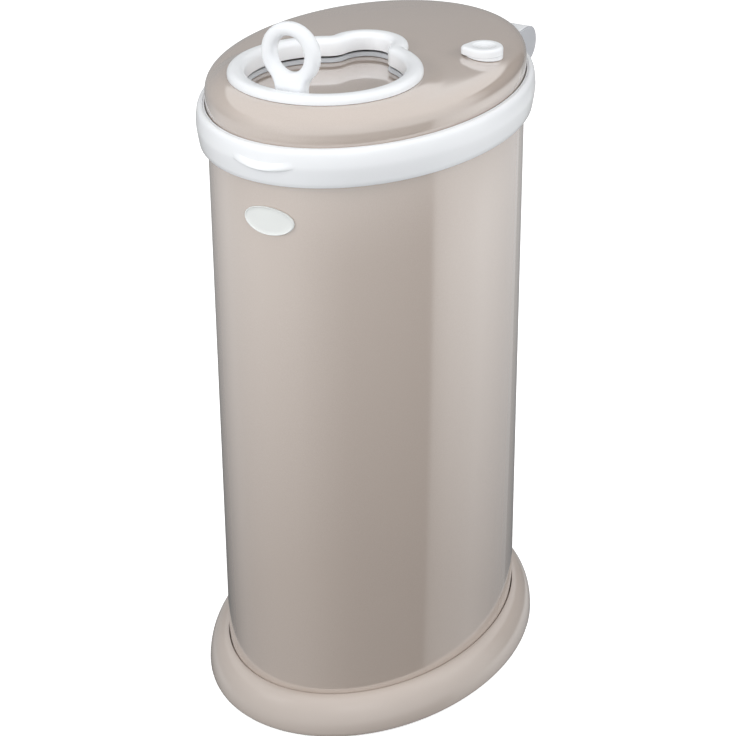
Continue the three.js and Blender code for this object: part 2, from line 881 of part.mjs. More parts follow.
// Door: a flat plate that covers the mouth and lobe, with its rear edge set by its travel
function doorPlate() {
  const rearX = bodyHalfWidth - doorRearInset;
  const rearY = bodyHalfLength - doorRearInset;
  const rear = upright(rearX, doorBottom, doorTop, 0, 0, doorRearSides);
  rear.scale(1, rearY / rearX, 1);
  rear.translate(0, -doorTravel - doorRearGap, 0);
  const strip = box(-doorHalfWidth, doorHalfWidth, mouthCentreY, bodyHalfLength, doorBottom, doorTop);
  const front = upright(doorHalfWidth, doorBottom, doorTop, 0, mouthCentreY, doorFrontSides);
  const holes = handleScrewPlaces().map(([x, y]) => upright(
    screwRadius + screwGap, doorBottom - cutOverrun, doorTop + cutOverrun, x, y,
  ));
  return cut(joined(shared(rear, strip), front), ...holes);
}

function handleScrewPlaces() {
  return [-1, 1].map((side) => [(side * handleScrewSpacing) / 2, handleY]);
}

function glideShoe() {
  const top = doorBottom - seatGap;
  const bottom = trayTop + seatGap;
  const shape = new THREE.Shape();
  shape.moveTo(-shoeLength / 2 + shoeWidth / 2, -shoeWidth / 2);
  shape.lineTo(shoeLength / 2 - shoeWidth / 2, -shoeWidth / 2);
  shape.absarc(shoeLength / 2 - shoeWidth / 2, 0, shoeWidth / 2, -Math.PI / 2, Math.PI / 2, false);
  shape.lineTo(-shoeLength / 2 + shoeWidth / 2, shoeWidth / 2);
  shape.absarc(-shoeLength / 2 + shoeWidth / 2, 0, shoeWidth / 2, Math.PI / 2, 1.5 * Math.PI, false);
  const pad = new THREE.ExtrudeGeometry(shape, {
    depth: top - bottom, bevelEnabled: false, curveSegments: shoeSteps,
  });
  pad.rotateZ(Math.PI / 2);
  pad.translate(0, 0, bottom);
  return welded(pad);
}

// Two shoes along each side of the plate, where the front pair follows its round front edge
function glideShoePlaces() {
  const rearX = bodyHalfWidth - doorRearInset;
  const rear = (bodyHalfLength - doorRearInset) * Math.sqrt(1 - (doorHalfWidth / rearX) ** 2)
    - doorTravel - doorRearGap - shoeRearInset;
  const places = [];
  [-1, 1].forEach((side) => [rear - shoeSpacing, rear].forEach((y) => {
    const ahead = Math.max(0, mouthCentreY - y);
    const edge = Math.sqrt(doorHalfWidth ** 2 - ahead ** 2);
    places.push([side * (edge - shoeSideInset - shoeWidth / 2), y]);
  }));
  return places;
}

// Handle: a rounded loop on a neck, drawn in the XZ plane
function doorHandle() {
  const fromCentre = neckHalfWidth + neckFillet;
  const drop = Math.sqrt((loopRadius + neckFillet) ** 2 - fromCentre ** 2);
  const filletZ = loopCentreZ - drop;
  const turn = Math.atan2(drop, fromCentre);
  const bottom = doorTop + seatGap;
  const outline = new THREE.Shape();
  outline.moveTo(neckHalfWidth, bottom);
  outline.lineTo(neckHalfWidth, filletZ);
  outline.absarc(fromCentre, filletZ, neckFillet, Math.PI, Math.PI - turn, true);
  outline.absarc(0, loopCentreZ, loopRadius, -turn, Math.PI + turn, false);
  outline.absarc(-fromCentre, filletZ, neckFillet, turn, 0, true);
  outline.lineTo(-neckHalfWidth, bottom);
  outline.closePath();
  const hole = new THREE.Path();
  hole.absellipse(0, loopCentreZ, holeHalfWidth, holeHalfHeight, 0, 2 * Math.PI, true, 0);
  outline.holes.push(hole);
  const loop = new THREE.ExtrudeGeometry(outline, {
    depth: handleThickness - 2 * handleRound,
    bevelThickness: handleRound,
    bevelSize: handleRound,
    bevelOffset: -handleRound,
    bevelSegments: edgeSteps,
    curveSegments: handleSteps,
  });
  loop.rotateX(Math.PI / 2);
  loop.translate(0, handleY + handleThickness / 2 - handleRound, 0);
  const foot = upright(neckHalfWidth, bottom, filletZ, 0, 0, roundSides);
  foot.scale(1, handleThickness / 2 / neckHalfWidth, 1);
  foot.translate(0, handleY, 0);
  const holes = handleScrewPlaces().map(([x, y]) => upright(
    screwRadius + screwGap, bottom - cutOverrun, bottom + handleScrewGrip, x, y,
  ));
  return cut(joined(trimmedBelow(loop, filletZ), foot), ...holes);
}

function trimmedBelow(geometry, height) {
  const reach = loopRadius + cutOverrun;
  return cut(geometry, box(
    -reach, reach, handleY - handleThickness, handleY + handleThickness,
    doorTop - cutOverrun, height - handleRound / 2,
  ));
}

// Child lock
function knobOutline(offset) {
  const lean = Math.acos((knobRadius - knobNoseRadius) / knobNoseReach);
  const outline = new THREE.Shape();
  outline.absarc(0, 0, knobRadius + offset, lean, 2 * Math.PI - lean, false);
  outline.absarc(knobNoseReach, 0, knobNoseRadius + offset, -lean, lean, false);
  outline.closePath();
  return outline;
}

function knobSeat() {
  return crown(lockX - bushFlangeRadius, lockY) + 2 * seatGap + capThickness / 2;
}

function lockKnob() {
  const seat = knobSeat();
  const cap = new THREE.ExtrudeGeometry(knobOutline(0), {
    depth: knobHeight - 2 * knobEdge,
    bevelThickness: knobEdge,
    bevelSize: knobEdge,
    bevelOffset: -knobEdge,
    bevelSegments: edgeSteps,
    curveSegments: knobSteps,
  });
  cap.translate(0, 0, seat + knobEdge);
  cap.rotateZ(knobNoseAngle * degrees);
  cap.translate(lockX, lockY, 0);
  const tenonTop = leverTop + seatGap;
  const stem = upright(stemRadius, tenonTop, seat + knobEdge, lockX, lockY, boreSides);
  const tenon = box(
    lockX - tenonHalfWidth, lockX + tenonHalfWidth, lockY - tenonHalfWidth, lockY + tenonHalfWidth,
    tenonTop - tenonLength, tenonTop + cutOverrun,
  );
  const dish = new THREE.SphereGeometry(dishRadius, dishSides, dishRings);
  dish.scale(1, 1, dishDepth / dishRadius);
  dish.translate(lockX, lockY, seat + knobHeight);
  const bore = upright(
    screwRadius + screwGap, tenonTop - cutOverrun, leverBottom + lockScrewGrip + seatGap, lockX, lockY,
  );
  return cut(joined(cap, stem, tenon), dish, bore);
}

function lockBush() {
  const top = knobSeat() - seatGap;
  const sleeveBottom = nutTop() - nutThickness - seatGap;
  const under = upright(bushFlangeRadius, capWallTop, top, lockX, lockY, roundSides);
  const sheet = loft([
    ...capSurface(-2 * seatGap, shoulderSteps).reverse(),
    oval(capWallOffset, capWallTop - cutOverrun),
  ], true);
  const sleeve = upright(stemRadius + stemGap + bushWall, sleeveBottom, top, lockX, lockY, boreSides);
  const bore = upright(stemRadius + stemGap, sleeveBottom - cutOverrun, top + cutOverrun, lockX, lockY, boreSides);
  return cut(joined(cut(under, sheet), sleeve), bore);
}

function nutTop() {
  return lidTop(lockX + nutAcross, lockY) - capThickness - 3 * seatGap;
}

function lockNut() {
  const hexagon = upright(nutAcross, nutTop() - nutThickness, nutTop(), lockX, lockY, nutSides);
  const bore = upright(
    stemRadius + stemGap + bushWall + seatGap, nutTop() - cutOverrun, nutTop() + cutOverrun, lockX, lockY, boreSides,
  );
  return cut(hexagon, bore);
}

function lockLever() {
  const lean = Math.acos((leverHubRadius - leverTipRadius) / leverLength);
  const outline = new THREE.Shape();
  outline.absarc(0, 0, leverHubRadius, lean, 2 * Math.PI - lean, false);
  outline.absarc(leverLength, 0, leverTipRadius, -lean, lean, false);
  outline.closePath();
  const arm = new THREE.ExtrudeGeometry(outline, {
    depth: leverThickness, bevelEnabled: false, curveSegments: arcSteps,
  });
  arm.translate(0, 0, leverBottom);
  arm.rotateZ(leverRestAngle * degrees);
  arm.translate(lockX, lockY, 0);
  const wide = tenonHalfWidth + seatGap;
  const socket = box(
    lockX - wide, lockX + wide, lockY - wide, lockY + wide,
    leverTop - tenonLength, leverTop + cutOverrun,
  );
  const bore = upright(screwRadius + screwGap, leverBottom - cutOverrun, leverTop + cutOverrun, lockX, lockY);
  return cut(arm, socket, bore);
}

// Hinge bracket on the body's rear, with the middle knuckle
function hingeBracket() {
  const padBottom = bracketPadTop - bracketPadHeight;
  const padOuter = bodyHalfLength + bracketPadThickness;
  const inside = bodyHalfLength - bracketRoot;
  const outline = new THREE.Shape();
  outline.moveTo(inside, padBottom);
  outline.lineTo(padOuter, padBottom);
  outline.lineTo(padOuter + seatGap, bracketPadTop - bracketPadThickness);
  outline.lineTo(hingeY + knuckleRadius * Math.SQRT1_2, hingeZ - knuckleRadius * Math.SQRT1_2);
  outline.lineTo(hingeY, hingeZ);
  outline.lineTo(inside, hingeZ - knuckleRadius);
  outline.closePath();
  const arm = pulledAlongX(outline, -knuckleHalfLength, knuckleHalfLength);
  const knuckle = alongX(knuckleRadius, -knuckleHalfLength, knuckleHalfLength, hingeY, hingeZ);
  const body = ovalPlate([
    [seatGap, padBottom - cutOverrun],
    [seatGap, hingeZ + knuckleRadius],
  ]);
  const pinBore = alongX(
    hingePinRadius + hingePinGap, -housingHalfLength, housingHalfLength, hingeY, hingeZ, screwSides,
  );
  const screwHoles = bracketScrewPlaces().map(([x]) => bracketScrewHole(x));
  return cut(joined(cut(arm, body), knuckle), pinBore, ...screwHoles);
}

function bracketScrewPlaces() {
  return [-1, 1].map((side) => [(side * bracketScrewSpacing) / 2, bracketScrewZ]);
}

function bracketScrewHole(x) {
  const hole = new THREE.CylinderGeometry(
    screwRadius + screwGap, screwRadius + screwGap, 2 * (bracketPadThickness + cutOverrun), screwSides,
  );
  hole.translate(x, bodyHalfLength, bracketScrewZ);
  return hole;
}

function hingePin() {
  const reach = housingHalfLength - endCoverThickness - 2 * seatGap;
  return alongX(hingePinRadius, -reach, reach, hingeY, hingeZ, screwSides);
}

// Oval badge plate, bare, curved to the body's front
function frontBadge() {
  const level = (share, offset) => {
    const loop = [];
    for (let i = 0; i < badgeSides; i += 1) {
      const angle = (i / badgeSides) * 2 * Math.PI;
      const x = badgeHalfWidth * share * Math.cos(angle);
      const y = -(bodyHalfLength + offset) * Math.sqrt(1 - (x / (bodyHalfWidth + offset)) ** 2);
      loop.push(new THREE.Vector3(x, y, badgeCentreZ + badgeHalfHeight * share * Math.sin(angle)));
    }
    return loop;
  };
  const rimShare = 1 - badgeRimWidth / badgeHalfWidth;
  const front = seatGap + badgeThickness;
  return loft([
    level(badgeCentreShare, seatGap),
    level(badgeMiddleShare, seatGap),
    level(1, seatGap),
    level(1, front),
    level((1 + rimShare) / 2, front + badgeRimStep / 2),
    level(rimShare, front),
    level(rimShare * badgeStepShare, front - badgeRimStep),
    level(badgeMiddleShare, front - badgeRimStep),
    level(badgeCentreShare, front - badgeRimStep),
  ], true);
}

// Assembly of the four bodies
function fixedBody() {
  const group = new THREE.Group();
  const pads = padPlaces().map(([x, y], i) => {
    const pad = piece(`foot_pad_${i + 1}`, footPad(), 'foot');
    pad.position.set(x, y, 0);
    return pad;
  });
  const screws = bracketScrewPlaces().map(([x, z], i) => {
    const screw = piece(`bracket_screw_${i + 1}`, screwGeometry(bracketScrewGrip), 'steel');
    screw.rotation.x = Math.PI / 2;
    screw.position.set(x, bodyHalfLength + bracketPadThickness + seatGap, z);
    return screw;
  });
  group.add(
    piece('body_shell', bodyShell(), 'champagne'),
    piece('base_skirt', baseSkirt(), 'base'),
    piece('floor_pan', floorPan(), 'inner'),
    ...pads,
    piece('top_rim', topRim(), 'white'),
    piece('bag_ring', bagRing(), 'white'),
    piece('hinge_bracket', hingeBracket(), 'white'),
    ...screws,
    piece('front_badge', frontBadge(), 'badge'),
  );
  return group;
}

function lid() {
  const group = new THREE.Group();
  const screws = linerScrewPlaces().map(([x, y], i) => {
    const grip = capSeat - linerFlangeBottom + seatGap;
    const screw = piece(`liner_screw_${i + 1}`, screwGeometry(grip), 'steel');
    screw.position.set(x, y, linerFlangeBottom - seatGap);
    return screw;
  });
  group.add(
    piece('lid_cap', lidCap(), 'champagne'),
    piece('lid_band', lidBand(), 'white'),
    piece('lid_liner', lidLiner(), 'inner'),
    piece('keyhole_bezel', keyholeBezel(), 'white'),
    piece('opening_seal', openingSeal(), 'rubber'),
    piece('lid_gasket', lidGasket(), 'rubber'),
    ...screws,
    piece('hinge_pin', hingePin(), 'steel'),
    piece('hinge_end_left', hingeEndCover(-1), 'grey'),
    piece('hinge_end_right', hingeEndCover(1), 'grey'),
    piece('lock_bush', lockBush(), 'white'),
    piece('lock_nut', lockNut(), 'steel'),
  );
  return group;
}

function door() {
  const group = new THREE.Group();
  const screws = handleScrewPlaces().map(([x, y], i) => {
    const screw = piece(`handle_screw_${i + 1}`, screwGeometry(handleScrewGrip), 'steel');
    screw.position.set(x, y, doorBottom - seatGap);
    return screw;
  });
  const shoes = glideShoePlaces().map(([x, y], i) => {
    const shoe = piece(`glide_shoe_${i + 1}`, glideShoe(), 'inner');
    shoe.position.set(x, y, 0);
    return shoe;
  });
  group.add(
    piece('door_plate', doorPlate(), 'champagne'),
    piece('door_handle', doorHandle(), 'white'),
    ...screws,
    ...shoes,
  );
  return group;
}

function lock() {
  const group = new THREE.Group();
  const screw = piece('lock_screw', screwGeometry(lockScrewGrip), 'steel');
  screw.position.set(lockX, lockY, leverBottom - seatGap);
  group.add(
    piece('lock_knob', lockKnob(), 'white'),
    piece('lock_lever', lockLever(), 'inner'),
    screw,
  );
  return group;
}

// The origin is under the middle of the whole bin's length, between base front and hinge rear
const bin = new THREE.Group();
const frontReach = bodyHalfLength + baseFlare;
const rearReach = hingeY + housingRadius;
bin.position.y = (frontReach - rearReach) / 2;
bin.add(fixedBody(), lid(), door(), lock());

export default bin;
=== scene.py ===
"""A nappy bin in a plain studio: lacquered steel body and lid, glossy mouldings, rubber seals.

The bin's sizes are in millimetres, from the middle of its oval body, until a mesh is made of them.
"""

import math

import bmesh
import bpy
from mathutils import Matrix, Vector


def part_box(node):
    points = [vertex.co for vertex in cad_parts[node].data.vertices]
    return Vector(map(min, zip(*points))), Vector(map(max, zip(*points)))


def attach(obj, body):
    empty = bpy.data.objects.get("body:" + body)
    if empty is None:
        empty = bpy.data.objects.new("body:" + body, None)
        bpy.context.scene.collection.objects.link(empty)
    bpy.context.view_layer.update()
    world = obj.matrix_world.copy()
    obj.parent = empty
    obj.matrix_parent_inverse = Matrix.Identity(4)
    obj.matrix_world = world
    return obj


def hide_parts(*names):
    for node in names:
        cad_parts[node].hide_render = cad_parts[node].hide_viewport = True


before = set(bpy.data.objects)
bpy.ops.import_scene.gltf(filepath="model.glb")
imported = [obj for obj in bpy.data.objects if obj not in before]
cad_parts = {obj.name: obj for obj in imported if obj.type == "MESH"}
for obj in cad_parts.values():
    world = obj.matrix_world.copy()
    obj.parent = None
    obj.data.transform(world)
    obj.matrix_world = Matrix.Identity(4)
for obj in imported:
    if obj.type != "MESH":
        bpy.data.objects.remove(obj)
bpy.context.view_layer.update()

MM = 0.001
DEGREE = math.pi / 180
X, Y, Z = range(3)

# The bin's own middle is that of its oval body, a little forward of the frame's origin
FORWARD = round(sum(corner[Y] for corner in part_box("body_shell")) / 2 / MM, 3)


def span(node, axis):
    """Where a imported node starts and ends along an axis, in millimetres from the bin's middle."""
    shift = FORWARD if axis == Y else 0.0
    return [round(corner[axis] / MM - shift, 3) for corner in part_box(node)]


def middle(node, axis):
    return sum(span(node, axis)) / 2


# Room between pieces that sit together
GAP = 0.3

# Body sheet, with the depths and the half angles, in radians, of its weld seam
HALF_WIDTH = span("body_shell", X)[1]
HALF_LENGTH = span("body_shell", Y)[1]
SHELL_BOTTOM, SHELL_TOP = span("body_shell", Z)
SHELL_THICKNESS = 1.0
SHELL_EDGE = 0.45
SEAM_DEPTH = 0.28
SEAM_STEP_DEPTH = 0.22
SEAM_STEP_TURN = 0.0035
SEAM_TURN = 0.008
SEAM_CLEAR_TURN = 0.02

# Base. Here and below, a reach is measured outwards from the body's oval
BASE_BOTTOM, BASE_TOP = span("base_skirt", Z)
BASE_FLARE = span("base_skirt", X)[1] - HALF_WIDTH
BASE_LIP = 1.0
BASE_WIDEST = BASE_BOTTOM + 2.0
BASE_WALL = 3.0
BASE_STEP = 3.1
BASE_STEP_TOP = 22.0
LEDGE_TOP = SHELL_BOTTOM - GAP
LEDGE_BOTTOM = LEDGE_TOP - 3.4
LEDGE_INNER = -24.0
LEDGE_EDGE = 0.6

# Feet
PAD_RADIUS = span("foot_pad_1", Y)[1] - middle("foot_pad_1", Y)
PAD_TOP = LEDGE_BOTTOM - GAP
STUD_RADIUS = 3.0
STUD_TOP = span("foot_pad_1", Z)[1]
BARB_RADIUS = 4.3
BARB_BOTTOM = LEDGE_TOP + GAP

# Rim and bag ring
RIM_SEAT = SHELL_TOP + GAP
RIM_SEAT_INNER = -SHELL_THICKNESS - GAP
RIM_FLANGE_TOP = RIM_SEAT + 2.0
RIM_SKIRT_BOTTOM, RIM_UPSTAND_TOP = span("top_rim", Z)
RIM_SKIRT_INNER = RIM_SEAT_INNER - 2.6
RIM_UPSTAND_OUTER = -9.5
RIM_UPSTAND_INNER = -13.0
RIM_LEDGE_TOP = SHELL_TOP - 4.0
RIM_LEDGE_BOTTOM = RIM_LEDGE_TOP - 2.6
RIM_LEDGE_INNER = -18.0
RIM_EDGE = 0.7
RING_BOTTOM, RING_CROWN = span("bag_ring", Z)
RING_SEAT = RIM_LEDGE_TOP + GAP
RING_OUTER = span("bag_ring", X)[1] - HALF_WIDTH
RING_FOLD = -18.9
RING_SKIRT = -24.9
RING_THICKNESS = 2.6
RING_EDGE = 1.2

# Liner, with the door's tray and rails, and the gasket under its flange
DOOR_TOP = span("door_plate", Z)[1]
TRAY_TOP = DOOR_TOP - 5.0
TRAY_BOTTOM = TRAY_TOP - 2.4
LINER_FLANGE_BOTTOM, RAIL_TOP = span("lid_liner", Z)
LINER_FLANGE_TOP = LINER_FLANGE_BOTTOM + 2.7
LINER_REACH = span("lid_liner", X)[1] - HALF_WIDTH
LINER_HAT = -14.0
LINER_WALL = 2.2
RAIL_INNER = span("door_plate", X)[1] + 0.8
RAIL_OUTER = RAIL_INNER + 3.2
RAIL_LIP = span("door_plate", X)[1] - 4.0
RAIL_LIP_BOTTOM = RAIL_TOP - 1.6
RAIL_FOOT = TRAY_TOP - 1.2
RAIL_END_ROOM = 4.0
GASKET_BOTTOM, GASKET_TOP = span("lid_gasket", Z)
GASKET_OUTER = span("lid_gasket", X)[1] - HALF_WIDTH
GASKET_INNER = GASKET_OUTER - 2.9

# Lid cap
CAP_SEAT = span("lid_cap", Z)[0]
CAP_WALL = span("lid_cap", X)[1] - HALF_WIDTH
CAP_WALL_TOP = CAP_SEAT + 8.0
CAP_THICKNESS = 1.2
CAP_HEM = 7.4
SHOULDER_WIDTH = 20.0
SHOULDER_POWER = 3.6
CROWN_TOP = CAP_WALL_TOP + 21.4
CROWN_DROP = 6.0
MOUTH_SEAT = CROWN_TOP - 0.8
SEAT_FADE = 16.0

# Keyhole, bezel and seal
MOUTH_RADIUS = 64.9
MOUTH_Y = MOUTH_RADIUS + 20.3 - HALF_LENGTH
LOBE_RADIUS = 25.0
LOBE_Y = MOUTH_Y + 62.3
NOTCH_RADIUS = 10.0
BEAD_HALF_WIDTH = 6.5
BEAD_HEIGHT = 5.7
BEAD_POWER = 0.72
BEZEL_WALL = 2.0
BEZEL_BOTTOM = DOOR_TOP + 5.3
SEAL_BOTTOM = DOOR_TOP + GAP
SEAL_TOP = SEAL_BOTTOM + 3.1
SEAL_INNER = -6.4
SEAL_OUTER = -3.1
SEAL_WEB = 2.5
SEAL_FOOT = 1.3

# Lid band and its finger tab
BAND_BOTTOM = span("lid_band", Z)[0]
BAND_TOP = BAND_BOTTOM + 28.0
BAND_REACH = span("lid_band", X)[1] - HALF_WIDTH
BAND_FRONT = 7.0
BAND_FLANGE_TOP = CAP_SEAT - GAP
BAND_FLANGE_BOTTOM = LINER_FLANGE_TOP + GAP
BAND_FLANGE_INNER = -8.0
BAND_INSIDE = 4.5
TAB_HALF_WIDTH = 27.0
TAB_REACH = 3.9
TAB_ROOT = 5.6
TAB_FULLNESS = 0.6
TAB_FADE = 1.6
TAB_BOTTOM = BAND_BOTTOM + 11.3
TAB_TOP = TAB_BOTTOM + 8.0
TAB_END_RISE = 3.2

# Hinge
HINGE_Y, HINGE_Z = middle("hinge_pin", Y), middle("hinge_pin", Z)
KNUCKLE_RADIUS = span("hinge_bracket", Y)[1] - HINGE_Y
KNUCKLE_ROOM = 0.8
COVER_INNER, COVER_OUTER = span("hinge_end_right", X)
HOUSING_RADIUS = span("hinge_end_right", Z)[1] - HINGE_Z
HOUSING_INNER = span("hinge_bracket", X)[1] + KNUCKLE_ROOM
HOUSING_OUTER = COVER_INNER - GAP
HOUSING_FRONT = 5.5
HOUSING_ROOT_Y = HALF_LENGTH - 4.5
HINGE_GAP_FRONT = HALF_LENGTH - 10.5
HINGE_GAP_REAR = HALF_LENGTH + 33.5

# Handle
LOOP_RADIUS = 23.2
LOOP_Z = span("door_handle", Z)[1] - LOOP_RADIUS
HANDLE_Y = middle("door_handle", Y)
HANDLE_HALF_THICKNESS = span("door_handle", Y)[1] - HANDLE_Y
HANDLE_ROUND = 4.8
HOLE_HALF_WIDTH = 11.9
HOLE_HALF_HEIGHT = 13.3
NECK_HALF_WIDTH = 12.9
NECK_FILLET = 15.0
NECK_FOOT_DROP = 6.0

# Lock, with the room that its lever needs in the right rail
LOCK_X, LOCK_Y = middle("lock_screw", X), middle("lock_screw", Y)
KNOB_RADIUS = 14.2
KNOB_HEIGHT = 5.8
KNOB_EDGE = 2.2
NOSE_RADIUS = 7.0
NOSE_REACH = 10.3
NOSE_ANGLE = 210.0
DISH_RADIUS = 8.8
STEM_RADIUS = 4.0
STEM_BOTTOM = DOOR_TOP + 0.7
BUSH_RADIUS = span("lock_bush", X)[1] - LOCK_X
BUSH_BOTTOM = span("lock_bush", Z)[0]
SLEEVE_RADIUS = 6.3
STEM_BORE = 4.3
LOCK_HOLE = 6.6
LEVER_FRONT = LOCK_Y - 40.7
LEVER_REAR = LOCK_Y + 10.0

# Badge and screws
BADGE_HALF_WIDTH = span("front_badge", X)[1]
BADGE_HALF_HEIGHT = 10.7
BADGE_Z = SHELL_TOP - 32.4
BADGE_THICKNESS = 1.3
SCREW_RADIUS = 3.0
SCREW_HEIGHT = 1.4

# Cuts run past what they cut
CUT_BOTTOM = BAND_BOTTOM - 14.0
CUT_TOP = CROWN_TOP + 11.6

# Steps of the rounded shapes
SIDES = 192
MOUTH_STEPS = 192
NOTCH_STEPS = 14
LOBE_STEPS = 72
BASE_STEPS = 24
BASE_INNER_STEPS = 17
BEAD_STEPS = 36
TAB_STEPS = 24
BADGE_SIDES = 96
KNOB_SIDES = 144
KNUCKLE_SIDES = 64
CROWN_STEPS = 26
UNDERSIDE_STEPS = 20
EDGE_STEPS = 8

# Span that most of a noise pattern's values lie in
NOISE_LOW = 0.3
NOISE_HIGH = 0.7


# Outlines
def circle(count):
    return [2 * math.pi * i / count for i in range(count)]


def oval_point(offset, angle):
    return (HALF_WIDTH + offset) * math.cos(angle), (HALF_LENGTH + offset) * math.sin(angle)


def oval_reach(offset, x):
    """How far the grown oval reaches to the front or rear, at a place across its width."""
    return (HALF_LENGTH + offset) * math.sqrt(1 - (x / (HALF_WIDTH + offset)) ** 2)


def oval_offset(x, y):
    offset = 0.0
    for _ in range(8):
        a, b = HALF_WIDTH + offset, HALF_LENGTH + offset
        stretch = math.hypot(x / a, y / b)
        offset += (stretch - 1) * stretch / (x * x / a**3 + y * y / b**3)
    return offset


def crown(x, y):
    """Height of the lid's crown, which is pressed level round the keyhole."""
    open_crown = CROWN_TOP - CROWN_DROP * ((x / HALF_WIDTH) ** 2 + (y / HALF_LENGTH) ** 2)
    from_mouth = math.hypot(x, y - MOUTH_Y) - MOUTH_RADIUS
    from_lobe = math.hypot(x, y - LOBE_Y) - LOBE_RADIUS
    away = (min(from_mouth, from_lobe) - BEAD_HALF_WIDTH) / SEAT_FADE
    away = min(1.0, max(0.0, away))
    return MOUTH_SEAT + (open_crown - MOUTH_SEAT) * away * away * (3 - 2 * away)


def lid_top(x, y):
    """Height of the lid's top surface, with its soft shoulder."""
    turn = CAP_WALL - SHOULDER_WIDTH
    if math.hypot(x / (HALF_WIDTH + turn), y / (HALF_LENGTH + turn)) < 1:
        return crown(x, y)
    across = min(1.0, (oval_offset(x, y) - turn) / SHOULDER_WIDTH)
    return CAP_WALL_TOP + (crown(x, y) - CAP_WALL_TOP) * (1 - across**SHOULDER_POWER) ** (1 / SHOULDER_POWER)


def keyhole(offset):
    """Outline of the keyhole opening in the lid: mouth arc, notch, lobe arc and notch."""
    reach = LOBE_Y - MOUTH_Y
    to_mouth, to_lobe = MOUTH_RADIUS + NOTCH_RADIUS, LOBE_RADIUS + NOTCH_RADIUS
    notch_y = (to_mouth**2 - to_lobe**2 + reach**2) / (2 * reach)
    notch_x = math.sqrt(to_mouth**2 - notch_y**2)
    at_mouth = math.atan2(notch_y, notch_x)
    at_lobe = math.atan2(notch_y - reach, notch_x)
    notch_radius = NOTCH_RADIUS - offset
    arcs = [
        (0, MOUTH_Y, MOUTH_RADIUS + offset, math.pi - at_mouth, 2 * math.pi + at_mouth, MOUTH_STEPS),
        (notch_x, MOUTH_Y + notch_y, notch_radius, math.pi + at_mouth, math.pi + at_lobe, NOTCH_STEPS),
        (0, LOBE_Y, LOBE_RADIUS + offset, at_lobe, math.pi - at_lobe, LOBE_STEPS),
        (-notch_x, MOUTH_Y + notch_y, notch_radius, -at_lobe, -at_mouth, NOTCH_STEPS),
    ]
    outline = []
    for x, y, radius, start, end, count in arcs:
        for i in range(count):
            angle = start + (end - start) * i / count
            outline.append((x + radius * math.cos(angle), y + radius * math.sin(angle)))
    return outline


def eased(corners, radius, steps=4):
    """A closed outline with each of its corners rounded off."""
    out = []
    for i, corner in enumerate(corners):
        here = Vector(corner)
        before = Vector(corners[i - 1]) - here
        after = Vector(corners[(i + 1) % len(corners)]) - here
        first = here + before * min(0.45, radius / before.length)
        last = here + after * min(0.45, radius / after.length)
        for k in range(steps + 1):
            t = k / steps
            out.append(tuple(first * (1 - t) ** 2 + here * (2 * t * (1 - t)) + last * t * t))
    return out


def inset(outline, amount):
    """A closed outline moved inwards along its own normals."""
    pairs = zip(outline, outline[1:] + outline[:1])
    turn = 1 if sum(a[0] * b[1] - b[0] * a[1] for a, b in pairs) > 0 else -1
    out = []
    for i, point in enumerate(outline):
        here = Vector(point)
        ahead = (Vector(outline[(i + 1) % len(outline)]) - here).normalized()
        behind = (here - Vector(outline[i - 1])).normalized()
        along = (ahead + behind).normalized()
        out.append(tuple(here + Vector((-along.y, along.x)) * turn * amount))
    return out


def rounded_levels(low, high, radius, steps=5):
    """Pairs of inset and level that round both edges of a plate between two levels."""
    turn = [i / steps * math.pi / 2 for i in range(steps + 1)]
    rising = [(radius * (1 - math.sin(t)), low + radius * (1 - math.cos(t))) for t in turn]
    falling = [(radius * (1 - math.cos(t)), high - radius * (1 - math.sin(t))) for t in turn]
    return rising + falling


# Meshes from loops of points
def placed(name, data):
    obj = bpy.data.objects.new(name, data)
    bpy.context.scene.collection.objects.link(obj)
    return obj


def solid(name, loops, ends=False):
    """A closed mesh through loops of equal count: the last loop meets the first, or both ends are filled."""
    count = len(loops[0])
    points = [p for loop in loops for p in loop]
    faces = []
    for i in range(len(loops) - 1 if ends else len(loops)):
        here, there = i * count, ((i + 1) % len(loops)) * count
        for j in range(count):
            k = (j + 1) % count
            faces.append((here + j, here + k, there + k, there + j))
    if ends:
        faces.append(tuple(range(count)))
        faces.append(tuple(range(len(points) - count, len(points))))
    mesh = bpy.data.meshes.new(name)
    mesh.from_pydata([(x * MM, (y + FORWARD) * MM, z * MM) for x, y, z in points], [], faces)
    whole = bmesh.new()
    whole.from_mesh(mesh)
    bmesh.ops.remove_doubles(whole, verts=whole.verts, dist=1e-6)
    bmesh.ops.recalc_face_normals(whole, faces=whole.faces)
    whole.to_mesh(mesh)
    whole.free()
    return placed(name, mesh)


def worked(obj, tools=(), operation="DIFFERENCE", bevel=0.0):
    """Cuts, joins or bevels an object for good. The tools are used up."""
    for tool in tools:
        step = obj.modifiers.new("step", "BOOLEAN")
        step.operation = operation
        step.solver = "EXACT"
        step.object = tool
    if bevel:
        edge = obj.modifiers.new("edge", "BEVEL")
        edge.width = bevel * MM
        edge.segments = 3
        edge.limit_method = "ANGLE"
        edge.angle_limit = 40 * DEGREE
    bpy.context.view_layer.update()
    done = bpy.data.meshes.new_from_object(obj.evaluated_get(bpy.context.evaluated_depsgraph_get()))
    obj.modifiers.clear()
    obj.data = done
    for tool in tools:
        bpy.data.objects.remove(tool)
    return obj


def settle(obj, look, body, *nodes, sharp=38):
    """Gives a finished mesh its shading, finish and body, and hides the CAD nodes that it stands for."""
    obj.data.polygons.foreach_set("use_smooth", [True] * len(obj.data.polygons))
    obj.data.set_sharp_from_angle(angle=sharp * DEGREE)
    material, slot = look
    obj.data.materials.clear()
    obj.data.materials.append(material)
    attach(obj, body)
    if nodes:
        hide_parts(*nodes)
    return obj


def oval_ring(name, profile, ends=False):
    return solid(name, [[(*oval_point(offset, a), z) for a in circle(SIDES)] for offset, z in profile], ends)


